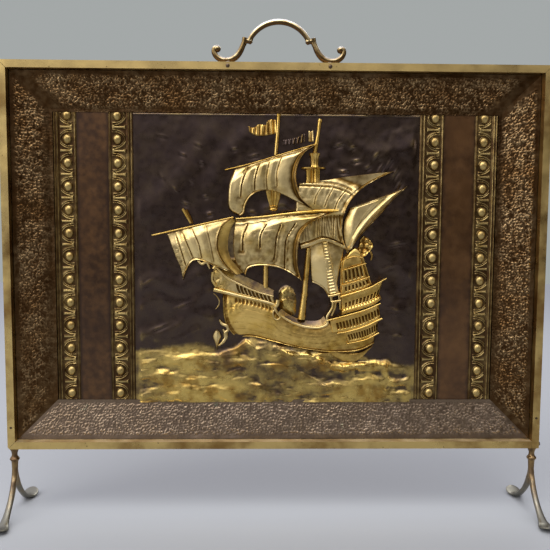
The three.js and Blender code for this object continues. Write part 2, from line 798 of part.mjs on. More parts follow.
// One leg, out from the foot's axis: out and up, then half width and half thickness. It ends in a round toe.
const legStations = [
  [1, 60, 3.2, 2.4],
  [1.6, 54, 3.4, 2.8],
  [3, 48, 3.5, 3],
  [5.6, 41.5, 3.5, 3.2],
  [9.4, 34.5, 3.5, 3.1],
  [14.4, 27.6, 3.6, 3],
  [20.8, 20.6, 3.7, 2.8],
  [28.8, 13.6, 4, 2.7],
  [37, 7.4, 4.8, 2.6],
  [43, 3.6, 6, 2.6],
  [48, 1.9, 8, 2.6],
  [53, 2.5, 9.4, 2.4],
  [58, 4.2, 9.5, 2],
  [63, 6.2, 7.6, 1.8],
  [66.6, 7.6, 3, 1.5],
];

function footSolid() {
  const stem = new THREE.LatheGeometry(stemProfile.map(([r, z]) => new THREE.Vector2(r, z)), 12);
  stem.rotateX(Math.PI / 2);
  const parts = [solidOf(stem)];
  for (const sign of [-1, 1]) {
    const place = (out, up) => new THREE.Vector3(0, sign * out, up);
    parts.push(sweptBar(legStations, 18, 8, place, new THREE.Vector3(-sign, 0, 0)));
  }
  return cut(join(parts), [block(-20, 20, -80, 80, -10, 0)]);
}

function makeFeet() {
  for (const [side, sign] of [["left", -1], ["right", 1]]) {
    addPiece(side + "_foot", footSolid().translate([sign * footX, 0, 0]), footBrass);
  }
}

makeRails();
makeCornerKeys();
makeHandle();
makeBorder();
makePilasters();
makeShipPanel();
makeBackingBoard();
makeFeet();

export default screen;
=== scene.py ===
import math

import bpy
import numpy as np
from mathutils import Matrix, Vector


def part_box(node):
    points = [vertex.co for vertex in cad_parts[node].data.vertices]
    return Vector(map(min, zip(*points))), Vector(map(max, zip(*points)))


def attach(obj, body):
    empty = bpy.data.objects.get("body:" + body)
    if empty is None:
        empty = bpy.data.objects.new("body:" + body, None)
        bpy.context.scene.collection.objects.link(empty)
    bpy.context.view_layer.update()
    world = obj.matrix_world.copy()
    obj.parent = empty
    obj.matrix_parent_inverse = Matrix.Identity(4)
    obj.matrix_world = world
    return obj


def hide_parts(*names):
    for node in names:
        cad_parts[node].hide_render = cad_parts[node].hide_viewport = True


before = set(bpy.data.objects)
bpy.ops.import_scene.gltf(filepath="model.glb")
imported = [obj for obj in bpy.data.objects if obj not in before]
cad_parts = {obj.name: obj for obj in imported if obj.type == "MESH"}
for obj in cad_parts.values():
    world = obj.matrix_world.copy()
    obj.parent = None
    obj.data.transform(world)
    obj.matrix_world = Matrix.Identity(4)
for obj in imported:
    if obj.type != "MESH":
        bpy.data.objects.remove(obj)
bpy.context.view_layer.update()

MM = 0.001
BODY = "screen"


# ---------------- measures taken from the frame, in millimetres
def box_mm(node):
    low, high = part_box(node)
    return np.array(low) / MM, np.array(high) / MM


PANEL_LOW, PANEL_HIGH = box_mm("ship_panel")
BAND_LOW, BAND_HIGH = box_mm("plain_band_left")
SHEET_FRONT = BAND_LOW[1]  # front of the sheet that the panel and bands are pressed from
SHEET_BACK = BAND_HIGH[1]
SEATED_BACK = SHEET_BACK - 0.1  # where the forms that are seated on the panel end
MIDDLE = (PANEL_LOW[2] + PANEL_HIGH[2]) / 2  # height of the middle of the panel
PANEL_HALF = PANEL_HIGH[0]
PANEL_REACH = PANEL_HIGH[2] - MIDDLE


# ---------------- shape helpers
NOISE_TABLE = 128
CELL_TABLE = 64


def smooth(t):
    """0 below 0 and 1 above 1, with an even slope between."""
    t = np.clip(t, 0, 1)
    return t * t * (3 - 2 * t)


def lump(distance, width):
    """A soft ridge of height 1 that is about width wide on each side."""
    return np.exp(-((distance / width) ** 2))


def spline(points, count):
    """count points, evenly spaced along a smooth curve through the given points."""
    p = np.array(points, float)
    step = np.maximum(np.linalg.norm(np.diff(p, axis=0), axis=1), 1e-6)
    t = np.concatenate([[0], np.cumsum(np.sqrt(step))])
    rate = np.diff(p, axis=0) / np.diff(t)[:, None]
    slope = np.empty_like(p)
    slope[0], slope[-1] = rate[0], rate[-1]
    before, after = np.diff(t)[:-1, None], np.diff(t)[1:, None]
    slope[1:-1] = (rate[:-1] * after + rate[1:] * before) / (before + after)
    fine = np.linspace(0, t[-1], 8 * count)
    i = np.clip(np.searchsorted(t, fine, side="right") - 1, 0, len(p) - 2)
    gap = (t[i + 1] - t[i])[:, None]
    s = (fine - t[i])[:, None] / gap
    curve = (
        (2 * s**3 - 3 * s**2 + 1) * p[i]
        + (s**3 - 2 * s**2 + s) * gap * slope[i]
        + (3 * s**2 - 2 * s**3) * p[i + 1]
        + (s**3 - s**2) * gap * slope[i + 1]
    )
    run = np.concatenate([[0], np.cumsum(np.linalg.norm(np.diff(curve, axis=0), axis=1))])
    even = np.linspace(0, run[-1], count)
    return np.stack([np.interp(even, run, curve[:, k]) for k in range(p.shape[1])], axis=1)


def noise(x, z, size, seed):
    """Smooth value noise from -1 to 1 with features about size across."""
    table = np.random.default_rng(seed).uniform(-1, 1, (NOISE_TABLE, NOISE_TABLE))
    fx, fz = x / size, z / size
    ix, iz = np.floor(fx).astype(int), np.floor(fz).astype(int)
    tx, tz = smooth(fx - ix), smooth(fz - iz)

    def at(i, j):
        return table[i % NOISE_TABLE, j % NOISE_TABLE]

    near_row = at(ix, iz) * (1 - tx) + at(ix + 1, iz) * tx
    far_row = at(ix, iz + 1) * (1 - tx) + at(ix + 1, iz + 1) * tx
    return near_row * (1 - tz) + far_row * tz


def octaves(x, z, size, seed, count=4):
    """Noise of several sizes, each half as large and half as strong as the one before."""
    total = np.zeros(np.broadcast(x, z).shape)
    for i in range(count):
        total += noise(x + 31 * i, z - 17 * i, size / 2**i, seed + i) / 2**i
    return total / 2


def cells(x, z, size, seed):
    """Distances to the nearest and second nearest of scattered points, in cell widths."""
    jitter = np.random.default_rng(seed).uniform(0.1, 0.9, (CELL_TABLE, CELL_TABLE, 2))
    fx, fz = x / size, z / size
    ix, iz = np.floor(fx).astype(int), np.floor(fz).astype(int)
    first = np.full(fx.shape, 9.0)
    second = np.full(fx.shape, 9.0)
    for di in (-1, 0, 1):
        for dj in (-1, 0, 1):
            spot = jitter[(ix + di) % CELL_TABLE, (iz + dj) % CELL_TABLE]
            d = np.hypot(ix + di + spot[..., 0] - fx, iz + dj + spot[..., 1] - fz)
            second = np.minimum(second, np.maximum(first, d))
            first = np.minimum(first, d)
    return first, second


def softened(height, passes):
    """The height after each place has been evened out with its neighbours several times."""
    soft = height.copy()
    for _ in range(passes):
        padded = np.pad(soft, 1, mode="edge")
        soft = (padded[:-2, 1:-1] + padded[2:, 1:-1] + padded[1:-1, :-2] + padded[1:-1, 2:]) / 4
    return soft


def distance_to(x, z, points, count=60):
    """Distance from each place to a smooth curve."""
    line = spline(points, count)
    best = np.full(x.shape, 1e9)
    for a, b in zip(line[:-1], line[1:]):
        run = b - a
        t = np.clip(((x - a[0]) * run[0] + (z - a[1]) * run[1]) / max(run @ run, 1e-9), 0, 1)
        best = np.minimum(best, (x - a[0] - t * run[0]) ** 2 + (z - a[1] - t * run[1]) ** 2)
    return np.sqrt(best)


# ---------------- mesh helpers
ROD_SIDES = 16
SEAM_WIDTH = 0.8


def new_object(name, data):
    made = bpy.data.objects.new(name, data)
    bpy.context.scene.collection.objects.link(made)
    return made


def add_piece(name, points, faces, material, slot, patina=None, sharp=40, body=BODY, replaces=()):
    """A mesh object from points in millimetres, riding on a body of the frame."""
    mesh = bpy.data.meshes.new(name)
    mesh.from_pydata((np.asarray(points, float) * MM).tolist(), [], faces)
    mesh.polygons.foreach_set("use_smooth", np.ones(len(mesh.polygons), bool))
    mesh.set_sharp_from_angle(angle=math.radians(sharp))
    if patina is not None:
        layer = mesh.attributes.new("patina", "FLOAT", "POINT")
        layer.data.foreach_set("value", np.broadcast_to(patina, len(points)).astype(np.float32))
    mesh.materials.append(material)
    obj = new_object(name, mesh)
    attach(obj, body)
    if replaces:
        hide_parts(*replaces)
    return obj


def grid_faces(rows, cols, flip=False, wrap=False):
    """Quads of a grid of points, facing -Y when rows run down and columns run to +X."""
    i = np.arange(rows * cols).reshape(rows, cols)
    if wrap:
        i = np.concatenate([i, i[:, :1]], axis=1)
    quads = np.stack([i[:-1, :-1], i[1:, :-1], i[1:, 1:], i[:-1, 1:]], axis=-1).reshape(-1, 4)
    return (quads[:, ::-1] if flip else quads).tolist()


def rim_of(rows, cols):
    """Indices round the edge of a grid, anticlockwise as seen from the front."""
    i = np.arange(rows * cols).reshape(rows, cols)
    return np.concatenate([i[:, 0], i[-1, 1:], i[-2::-1, -1], i[0, -2:0:-1]])


def relief(name, x, z, height, material, patina, slot="relief_brass", back=SEATED_BACK, replaces=(),
           sharp=40):
    """A closed form with a modelled front: height stands out from the sheet, and the back is flat."""
    front = np.stack([x, SHEET_FRONT - height, z + MIDDLE], axis=-1).reshape(-1, 3)
    rim = rim_of(*x.shape)
    behind = front[rim]
    behind[:, 1] = back
    base, count = x.size, len(rim)
    faces = grid_faces(*x.shape)
    for k in range(count):
        n = (k + 1) % count
        faces.append([int(rim[n]), int(rim[k]), base + k, base + n])
    faces.append([base + k for k in range(count)][::-1])
    shade = np.broadcast_to(patina, x.shape).ravel()
    shade = np.concatenate([shade, shade[rim]])
    add_piece(name, np.concatenate([front, behind]), faces, material, slot, shade, sharp, BODY, replaces)


class Patch:
    """A four-sided area between smooth curves, as a grid of places with the distance to each side."""

    def __init__(self, top, bottom, rows, cols, left=None, right=None):
        upper, lower = spline(top, cols), spline(bottom, cols)
        first = spline(left or [top[0], bottom[0]], rows)
        last = spline(right or [top[-1], bottom[-1]], rows)
        u = np.linspace(0, 1, cols)[None, :, None]
        v = np.linspace(0, 1, rows)[:, None, None]
        corners = (1 - v) * ((1 - u) * upper[0] + u * upper[-1]) + v * ((1 - u) * lower[0] + u * lower[-1])
        p = (1 - v) * upper[None] + v * lower[None] + (1 - u) * first[:, None] + u * last[:, None] - corners
        self.x, self.z = p[..., 0], p[..., 1]
        self.u, self.v = np.broadcast_arrays(u[..., 0], v[..., 0])
        across = np.zeros(self.x.shape)
        across[:, 1:] = np.cumsum(np.hypot(np.diff(self.x, axis=1), np.diff(self.z, axis=1)), axis=1)
        down = np.zeros(self.x.shape)
        down[1:] = np.cumsum(np.hypot(np.diff(self.x, axis=0), np.diff(self.z, axis=0)), axis=0)
        self.from_left, self.from_right = across, across[:, -1:] - across
        self.from_top, self.from_bottom = down, down[-1:] - down

    def nearest(self, sides):
        """Distance to the nearest of the named sides, out of l, r, t and b."""
        reach = {"l": self.from_left, "r": self.from_right, "t": self.from_top, "b": self.from_bottom}
        return np.minimum.reduce([reach[side] for side in sides])

    def lip(self, high, sunk):
        """A raised bead along the right edge, and the hollow inside it."""
        return high * lump(self.from_right - 1.1, 1.0) - sunk * lump(self.from_right - 4.8, 2.3)

    def seam(self, points, shift=1.1, raised=0.6, sunk=0.8):
        """A lapped seam: a fine ridge along a curve with a groove beside it."""
        ridge = lump(distance_to(self.x, self.z, points), SEAM_WIDTH)
        beside = [(px + shift, pz) for px, pz in points]
        return raised * ridge - sunk * lump(distance_to(self.x, self.z, beside), SEAM_WIDTH)

    def panels(self, seams, high, reach):
        """The fullness of the cloth between seams."""
        nearest = np.minimum.reduce([distance_to(self.x, self.z, seam, 30) for seam in seams])
        return high * (1 - lump(nearest, reach))

    def cloth(self, seed):
        """The slight unevenness of hand-worked sheet."""
        return 0.25 * octaves(self.x, self.z, 14, seed) + 0.075 * noise(self.x, self.z, 3, seed + 9)


def pressed(name, patch, height, material, tone, drop=1.7, sharp=40):
    """A form pressed out of the sheet, turned down along its edges."""
    turned = drop * (1 - smooth(patch.nearest("lrtb") / 1.5)) ** 2
    relief(name, patch.x, patch.z, height - turned, material, np.clip(tone, 0, 1), sharp=sharp)


def tube_faces(rings, sides, flip=False):
    """Faces of a closed bar whose points are its rings, then one point for each end."""
    faces = grid_faces(rings, sides, wrap=True)
    first, last_ring = rings * sides, (rings - 1) * sides
    for k in range(sides):
        n = (k + 1) % sides
        faces.append([first, k, n])
        faces.append([first + 1, last_ring + n, last_ring + k])
    return [face[::-1] for face in faces] if flip else faces


def tube(path, radii, sides, flat=1.0, flutes=0, depth=0.0):
    """Points and faces of a closed bar along a path of (x, y, z), capped by a point at each end."""
    path = np.asarray(path, float)
    radii = np.broadcast_to(np.asarray(radii, float), (len(path),))
    along = np.gradient(path, axis=0)
    along /= np.linalg.norm(along, axis=1)[:, None]
    side = np.cross(along, [0.0, 1.0, 0.0])
    side /= np.maximum(np.linalg.norm(side, axis=1), 1e-9)[:, None]
    up = np.cross(side, along)
    angle = np.linspace(0, 2 * math.pi, sides, endpoint=False)
    swell = 1 + depth * np.cos(flutes * angle)
    ring = (
        side[:, None] * (np.cos(angle) * swell)[None, :, None]
        + flat * up[:, None] * (np.sin(angle) * swell)[None, :, None]
    )
    points = path[:, None] + ring * radii[:, None, None]
    return np.concatenate([points.reshape(-1, 3), path[:1], path[-1:]]), tube_faces(len(path), sides)


def joined(parts):
    """One list of points and faces from several."""
    points, faces, base = [], [], 0
    for p, f in parts:
        points.append(p)
        faces += [[i + base for i in face] for face in f]
        base += len(p)
    return np.concatenate(points), faces


def flush(solid):
    """Keeps a form that is seated on the panel from standing out behind the sheet."""
    points, faces = solid
    points[:, 1] = np.minimum(points[:, 1], SEATED_BACK)
    return points, faces


def rod_on_sheet(path, radii, height, count=40, sides=ROD_SIDES):
    """A bar lying on the panel: path in panel millimetres, height of its axis above the sheet."""
    line = spline(path, count)
    share = np.linspace(0, 1, count)
    high = np.interp(share, np.linspace(0, 1, np.size(height)), np.atleast_1d(height))
    fat = np.interp(share, np.linspace(0, 1, np.size(radii)), np.atleast_1d(radii))
    at = np.stack([line[:, 0], SHEET_FRONT - high, line[:, 1] + MIDDLE], axis=1)
    return flush(tube(at, fat, sides))


def rod_piece(name, path, radii, height, material, patina):
    """A bar with a painted shade down its right side, away from the light."""
    points, faces = rod_on_sheet(path, radii, height)
    rings = points[:-2].reshape(-1, ROD_SIDES, 3)
    offset = (rings - rings.mean(axis=1, keepdims=True))[..., 0]
    offset = offset / np.abs(offset).max()
    # Painted shade: the patina grows towards the right side of each ring.
    mask = np.append(patina + 0.4 * smooth(offset * 2).ravel(), [patina, patina])
    add_piece(name, points, faces, material, "relief_brass", np.clip(mask, 0, 1))


def seated_piece(name, solids, material, patina):
    """Bars and turned forms that lie on the panel, as one piece with an even patina."""
    add_piece(name, *joined(solids), material, "relief_brass", patina)


def bars_piece(name, bars, material, patina):
    """A table of bars that lie on the panel, as one piece."""
    seated_piece(name, [rod_on_sheet(*bar) for bar in bars], material, patina)


def turned_on_sheet(x, profile, height, flat=0.8, sides=32, flutes=0, depth=0.0):
    """A turned form with an upright axis on the panel; profile is a list of (radius, z)."""
    path = [(x, SHEET_FRONT - height, z + MIDDLE) for _, z in profile]
    return flush(tube(path, [r for r, _ in profile], sides=sides, flat=flat, flutes=flutes, depth=depth))


# ---------------- camera
CAMERA_PLACE = (-0.0216, -0.8492, 0.3741)  # metres
CAMERA_TURN = {"down": 4.86, "roll": -0.33, "yaw": -1.34}  # degrees
CAMERA_LENS = 45.3


def make_camera():
    data = bpy.data.cameras.new("camera")
    data.lens = CAMERA_LENS
    data.sensor_width = 36
    camera = new_object("camera", data)
    level = Matrix.Rotation(math.radians(90), 4, "X")  # looks along +Y
    yaw = Matrix.Rotation(math.radians(CAMERA_TURN["yaw"]), 4, "Z")
    pitch = Matrix.Rotation(math.radians(-CAMERA_TURN["down"]), 4, "X")
    roll = Matrix.Rotation(math.radians(CAMERA_TURN["roll"]), 4, "Y")
    camera.matrix_world = Matrix.Translation(CAMERA_PLACE) @ yaw @ pitch @ roll @ level
    bpy.context.scene.camera = camera


# ---------------- studio
BRIGHT_SIDE = (-0.38, -0.12, 0.92)  # the room is lit from above and a little from the left
ROOM_DARK = (0.064, 0.045, 0.02)
ROOM_BRIGHT = (1.22, 1.22, 1.4)
BACKDROP = (0.37, 0.392, 0.39)
FLOOR_COLOUR = (0.343, 0.357, 0.36)
FLOOR_HALF = 3.0
# The lamps: place, target, width and height, power and colour.
LAMPS = {
    "soft_box_above": ((-0.25, -0.9, 1.9), (0, 0, 0.35), (1.6, 0.9), 19, (1, 0.98, 0.95)),
    "soft_box_left": ((-1.7, -1.2, 1.2), (0, 0, 0.35), (0.8, 1.4), 12, (1, 0.97, 0.92)),
    "soft_box_right": ((1.8, -1.0, 0.9), (0, 0, 0.3), (0.5, 1.0), 2.5, (1, 0.95, 0.9)),
    "soft_box_behind": ((0.4, 1.6, 1.6), (0, 0, 0.3), (1.4, 0.9), 12, (1, 1, 1)),
}


def area_light(name, place, target, size, power, colour):
    data = bpy.data.lights.new(name, "AREA")
    data.shape = "RECTANGLE"
    data.size, data.size_y = size
    data.energy = power
    data.color = colour
    light = new_object(name, data)
    light.location = place
    light.rotation_euler = (Vector(target) - Vector(place)).to_track_quat("-Z", "Y").to_euler()


def make_world():
    """A plain backdrop for the camera, and a brighter and a darker side of a room for the metal to mirror."""
    world = bpy.data.worlds.new("studio")
    world.use_nodes = True
    bpy.context.scene.world = world
    tree = world.node_tree
    tree.nodes.clear()
    seen = add_node(tree, "ShaderNodeBackground", {"Color": BACKDROP, "Strength": 1.0})
    place = add_node(tree, "ShaderNodeTexCoord")
    towards = add_node(
        tree, "ShaderNodeVectorMath", {0: place.outputs["Generated"], 1: BRIGHT_SIDE},
        operation="DOT_PRODUCT",
    )
    glow = ranged(tree, towards.outputs["Value"], -0.04, 0.82)
    shade = mix_colour(tree, glow, ROOM_DARK, ROOM_BRIGHT)
    mirrored = add_node(tree, "ShaderNodeBackground", {"Color": shade, "Strength": 1.0})
    path = add_node(tree, "ShaderNodeLightPath")
    both = add_node(
        tree, "ShaderNodeMixShader",
        {0: path.outputs["Is Camera Ray"], 1: mirrored.outputs[0], 2: seen.outputs[0]},
    )
    out = add_node(tree, "ShaderNodeOutputWorld")
    tree.links.new(both.outputs[0], out.inputs["Surface"])


def make_studio():
    bpy.context.scene.view_settings.view_transform = "Standard"
    make_world()
    for name, lamp in LAMPS.items():
        area_light(name, *lamp)
    points = [(x * FLOOR_HALF, y * FLOOR_HALF, 0) for x, y in ((-1, -1), (1, -1), (1, 1), (-1, 1))]
    mesh = bpy.data.meshes.new("floor")
    mesh.from_pydata(points, [], [(0, 1, 2, 3)])
    material, _, shader = new_material("floor_paper")
    shader.inputs["Base Color"].default_value = (*FLOOR_COLOUR, 1)
    shader.inputs["Roughness"].default_value = 0.75
    mesh.materials.append(material)
    floor = new_object("floor", mesh)


# ---------------- materials
GRAIN = 0.0006  # size of the metal's finest grain, in metres


def new_material(name):
    material = bpy.data.materials.new(name)
    material.use_nodes = True
    return material, material.node_tree, material.node_tree.nodes["Principled BSDF"]


def add_node(tree, kind, inputs=None, **settings):
    """A node with its inputs linked or set, and its properties set; colours are given without alpha."""
    made = tree.nodes.new(kind)
    for key, value in settings.items():
        setattr(made, key, value)
    for key, value in (inputs or {}).items():
        socket = made.inputs[key]
        if isinstance(value, bpy.types.NodeSocket):
            tree.links.new(value, socket)
        else:
            socket.default_value = (*value, 1) if socket.type == "RGBA" else value
    return made


def mix_colour(tree, factor, a, b):
    return add_node(tree, "ShaderNodeMix", {0: factor, 6: a, 7: b}, data_type="RGBA").outputs[2]


def calculate(tree, operation, a, b, clamp=False):
    return add_node(tree, "ShaderNodeMath", {0: a, 1: b}, operation=operation, use_clamp=clamp).outputs[0]


def ranged(tree, value, low, high, to_low=0.0, to_high=1.0):
    made = add_node(
        tree, "ShaderNodeMapRange",
        {"Value": value, "From Min": low, "From Max": high, "To Min": to_low, "To Max": to_high},
        interpolation_type="SMOOTHSTEP",
    )
    return made.outputs[0]


def speckle(tree, size, detail=4, stretch=(1, 1, 1), rough=0.55):
    """Noise whose features are about size metres across."""
    place = add_node(tree, "ShaderNodeTexCoord")
    scaled = add_node(tree, "ShaderNodeMapping", {"Vector": place.outputs["Object"], "Scale": stretch})
    made = add_node(
        tree, "ShaderNodeTexNoise",
        {"Vector": scaled.outputs[0], "Scale": 1 / size, "Detail": detail, "Roughness": rough},
    )
    return made.outputs["Fac"]


def finish_shader(tree, shader, colour, roughness, height, strength, distance):
    """Gives the material its colour, roughness and fine bumps."""
    tree.links.new(colour, shader.inputs["Base Color"])
    tree.links.new(roughness, shader.inputs["Roughness"])
    raised = add_node(tree, "ShaderNodeBump", {"Strength": strength, "Distance": distance, "Height": height})
    tree.links.new(raised.outputs[0], shader.inputs["Normal"])


def metal(name, bright, stained, rough, bump, stain_size, stain=(0.45, 0.7), patina=None, coat=0.0,
          spots=None, sheen_heights=None, uneven_size=0.008, dust_and_sheen=None, dust_and_sheen_rise=(0.8, 0.97), under=None):
    """Worn metal: two tones in patches, uneven gloss, fine grain, and a patina where the mask says.

    spots is (tone, size, threshold). The stains fade between the two sheen heights, a painted sheen that
    leaves what stands highest brighter, and under is the colour of a painted shade on what faces down.
    The dust and sheen colour is laid on as the normal's upward part goes from the first to the second
    value of its rise: dust on upward ledges, and a painted highlight over the tops of bars where the rise
    starts low.
    """
    material, tree, shader = new_material(name)
    shader.inputs["Metallic"].default_value = 1.0
    if coat:
        shader.inputs["Coat Weight"].default_value = coat
        shader.inputs["Coat Roughness"].default_value = 0.15
    patches = ranged(tree, speckle(tree, stain_size, 5, rough=0.6), *stain)
    # Painted sheen: above the given heights the stains fade, so the top rail reads brighter as if catching
    # the light.
    if sheen_heights:
        place = add_node(tree, "ShaderNodeTexCoord")
        height = add_node(tree, "ShaderNodeSeparateXYZ", {"Vector": place.outputs["Object"]})
        stain_left_by_sheen = ranged(tree, height.outputs["Z"], *sheen_heights, 1.0, 0.15)
        patches = calculate(tree, "MULTIPLY", patches, stain_left_by_sheen, True)
    colour = mix_colour(tree, patches, bright, stained)
    roughness = ranged(tree, speckle(tree, stain_size * 0.4, 5), 0.3, 0.7, *rough)
    if spots:
        tone, size, threshold = spots
        marks = ranged(tree, speckle(tree, size, 3), threshold, threshold + 0.04)
        colour = mix_colour(tree, marks, colour, tone)
    if dust_and_sheen or under:
        facing = add_node(tree, "ShaderNodeNewGeometry")
        upward = add_node(tree, "ShaderNodeSeparateXYZ", {"Vector": facing.outputs["Normal"]})
    # Dust on upward ledges; where the rise starts low, a painted highlight over the top of each bar.
    if dust_and_sheen:
        level = ranged(tree, upward.outputs["Z"], *dust_and_sheen_rise)
        dust_and_sheen_share = calculate(tree, "MULTIPLY", level, ranged(tree, speckle(tree, 0.02), 0.3, 0.6, 0.5))
        colour = mix_colour(tree, dust_and_sheen_share, colour, dust_and_sheen)
        roughness = calculate(tree, "ADD", roughness, calculate(tree, "MULTIPLY", dust_and_sheen_share, 0.25))
    if patina:
        mask = add_node(tree, "ShaderNodeAttribute", attribute_name="patina").outputs["Fac"]
        between = calculate(tree, "MULTIPLY", mask, calculate(tree, "SUBTRACT", 1.0, mask))
        uneven = ranged(tree, speckle(tree, uneven_size, 4), 0.3, 0.7, -1.1, 1.1)
        cover = calculate(tree, "ADD", mask, calculate(tree, "MULTIPLY", uneven, between), True)
        colour = mix_colour(tree, cover, colour, patina)
    # Painted shade: what faces down is darkened towards the under colour.
    if under:
        painted_shade_below = ranged(tree, upward.outputs["Z"], -0.45, 0.35, 1.0, 0.0)
        colour = mix_colour(tree, painted_shade_below, colour, under)
    grains = speckle(tree, GRAIN, 2)
    coarse = speckle(tree, GRAIN * 9, 3)
    height = calculate(tree, "ADD", grains, calculate(tree, "MULTIPLY", coarse, 2.0))
    finish_shader(tree, shader, colour, roughness, height, bump, 0.0004)
    return material


def make_materials():
    made = {}
    # The frame: a painted sheen fades its stains on the top rail, and the pale layer on its upward ledges is
    # partly dust and partly painted light.
    made["frame"] = metal(
        "frame_brass", (0.63, 0.46, 0.17), (0.26, 0.15, 0.045), stain=(0.39, 0.65), stain_size=0.07,
        rough=(0.24, 0.42), spots=((0.06, 0.035, 0.015), 0.004, 0.7), sheen_heights=(0.5, 0.555), bump=0.06,
        dust_and_sheen=(0.76, 0.62, 0.36),
    )
    # The handle: the near-white layer on anything facing a little upward is a painted highlight along the
    # tops of its bars, and under is a painted shade beneath them.
    made["handle"] = metal(
        "handle_brass", (0.64, 0.5, 0.23), (0.34, 0.22, 0.08), stain=(0.4, 0.62), stain_size=0.016,
        rough=(0.2, 0.32), bump=0.02, dust_and_sheen=(0.85, 0.82, 0.8), dust_and_sheen_rise=(0.15, 0.75),
        under=(0.09, 0.05, 0.02), patina=(0.17, 0.115, 0.04),
    )
    made["foot"] = metal(
        "foot_brass", (0.3, 0.2, 0.085), (0.14, 0.085, 0.045), stain=(0.4, 0.65), stain_size=0.018,
        rough=(0.3, 0.46), patina=(0.2, 0.19, 0.15), bump=0.03,
    )
    made["hammered"] = metal(
        "hammered_brass", (0.31, 0.21, 0.1), (0.2, 0.11, 0.04), stain=(0.4, 0.65), stain_size=0.05,
        rough=(0.26, 0.36), patina=(0.055, 0.025, 0.007), coat=0.05, bump=0.06,
    )
    # A lighter, greyer copy of the hammered brass for the bottom border, which faces up: partly dust, partly
    # painted light from above.
    made["hammered_low"] = metal(
        "hammered_brass_dusty_lit", (0.31, 0.235, 0.16), (0.23, 0.165, 0.1), stain=(0.4, 0.65),
        stain_size=0.05, rough=(0.28, 0.38), patina=(0.18, 0.128, 0.083), bump=0.06,
        spots=((0.14, 0.17, 0.11), 0.02, 0.68),
    )
    made["moulding"] = metal(
        "moulding_brass", (0.46, 0.335, 0.125), (0.3, 0.19, 0.055), stain_size=0.01, rough=(0.32, 0.44),
        patina=(0.06, 0.03, 0.01), coat=0.1, bump=0.06,
    )
    made["plain"] = metal(
        "plain_brass", (0.19, 0.096, 0.038), (0.13, 0.066, 0.029), stain_size=0.05, rough=(0.3, 0.4),
        stain=(0.35, 0.7), coat=0.2, bump=0.04, patina=(0.055, 0.032, 0.02),
    )
    made["sail"] = metal(
        "pale_relief_brass", (0.75, 0.58, 0.26), (0.57, 0.4, 0.12), stain=(0.42, 0.72), stain_size=0.03,
        rough=(0.3, 0.4), patina=(0.16, 0.085, 0.016), bump=0.03,
    )
    made["hull"] = metal(
        "gold_relief_brass", (0.76, 0.52, 0.15), (0.57, 0.35, 0.062), stain=(0.4, 0.7), stain_size=0.03,
        rough=(0.26, 0.36), patina=(0.16, 0.075, 0.012), bump=0.03,
    )
    made["ground"] = metal(
        "dark_ground", (0.66, 0.47, 0.13), (0.38, 0.22, 0.042), stain=(0.42, 0.66), stain_size=0.022,
        rough=(0.24, 0.36), patina=(0.06, 0.04, 0.032), coat=0.16, bump=0.03, uneven_size=0.016,
    )
    made["steel"] = metal(
        "dark_steel", (0.12, 0.085, 0.055), (0.06, 0.035, 0.02), stain_size=0.003, rough=(0.3, 0.55),
        bump=0.08,
    )
    made["board"] = board_material()
    return made


def board_material():
    """Brown hardboard with pressed fibres."""
    material, tree, shader = new_material("hardboard")
    fibres = speckle(tree, 0.004, 8, (1, 1, 0.35), 0.7)
    blotch = speckle(tree, 0.12, 4)
    colour = mix_colour(tree, ranged(tree, fibres, 0.3, 0.7), (0.2, 0.11, 0.055), (0.32, 0.19, 0.1))
    colour = mix_colour(tree, ranged(tree, blotch, 0.4, 0.7, 0, 0.45), colour, (0.15, 0.085, 0.045))
    finish_shader(tree, shader, colour, ranged(tree, fibres, 0.3, 0.7, 0.65, 0.9), fibres, 0.35, 0.0005)
    return material


# ---------------- the panel's ground: sky and sea
# The upper edge of the sea.
SEA_LINE = [
    (-176, -112), (-150, -109), (-120, -106), (-96, -104), (-74, -108), (-62, -108), (-48, -104),
    (-38, -96), (-20, -94), (12, -100), (40, -104), (68, -108), (96, -112), (112, -118), (122, -123),
    (140, -123), (148, -129), (176, -131),
]
GROUND_COLUMNS = 304
GROUND_ROWS = 312
# Wave ridges: the crest's path, its height, and how far it falls away above and below.
WAVES = [
    ([(-160, -131), (-140, -124), (-112, -126), (-88, -128), (-76, -134)], 2.4, 6, 9),
    ([(-172, -152), (-140, -147), (-100, -151), (-60, -146)], 1.6, 8, 8),
    ([(-72, -121), (-62, -116), (-50, -113), (-39, -103), (-33, -106), (-25, -112)], 3.6, 3, 10),
    ([(-60, -129), (-30, -126), (0, -123), (30, -128), (62, -138)], 2.0, 6, 7),
    ([(-30, -137), (0, -133), (22, -139), (46, -150), (66, -162)], 2.6, 3, 9),
    ([(20, -118), (44, -126), (62, -132), (84, -142)], 2.6, 4, 6),
    ([(92, -134), (112, -132), (140, -130), (150, -134)], 2.4, 5, 7),
    ([(-170, -166), (-120, -162), (-70, -166), (-20, -163)], 1.2, 6, 7),
]
# Foam and broken water: centre, half width, half height, height.
FOAM = [
    (-146, -127, 20, 5, 1.2), (-108, -128, 14, 5, 1.6), (12, -117, 8, 3, 1.6), (34, -124, 10, 3, 2.0),
    (52, -129, 9, 3, 2.0), (84, -135, 12, 4, 2.4), (104, -134, 9, 4, 2.6), (134, -134, 12, 5, 1.8),
    (146, -158, 16, 8, 2.0), (128, -166, 20, 6, 1.6), (-165, -160, 12, 7, 1.4),
]
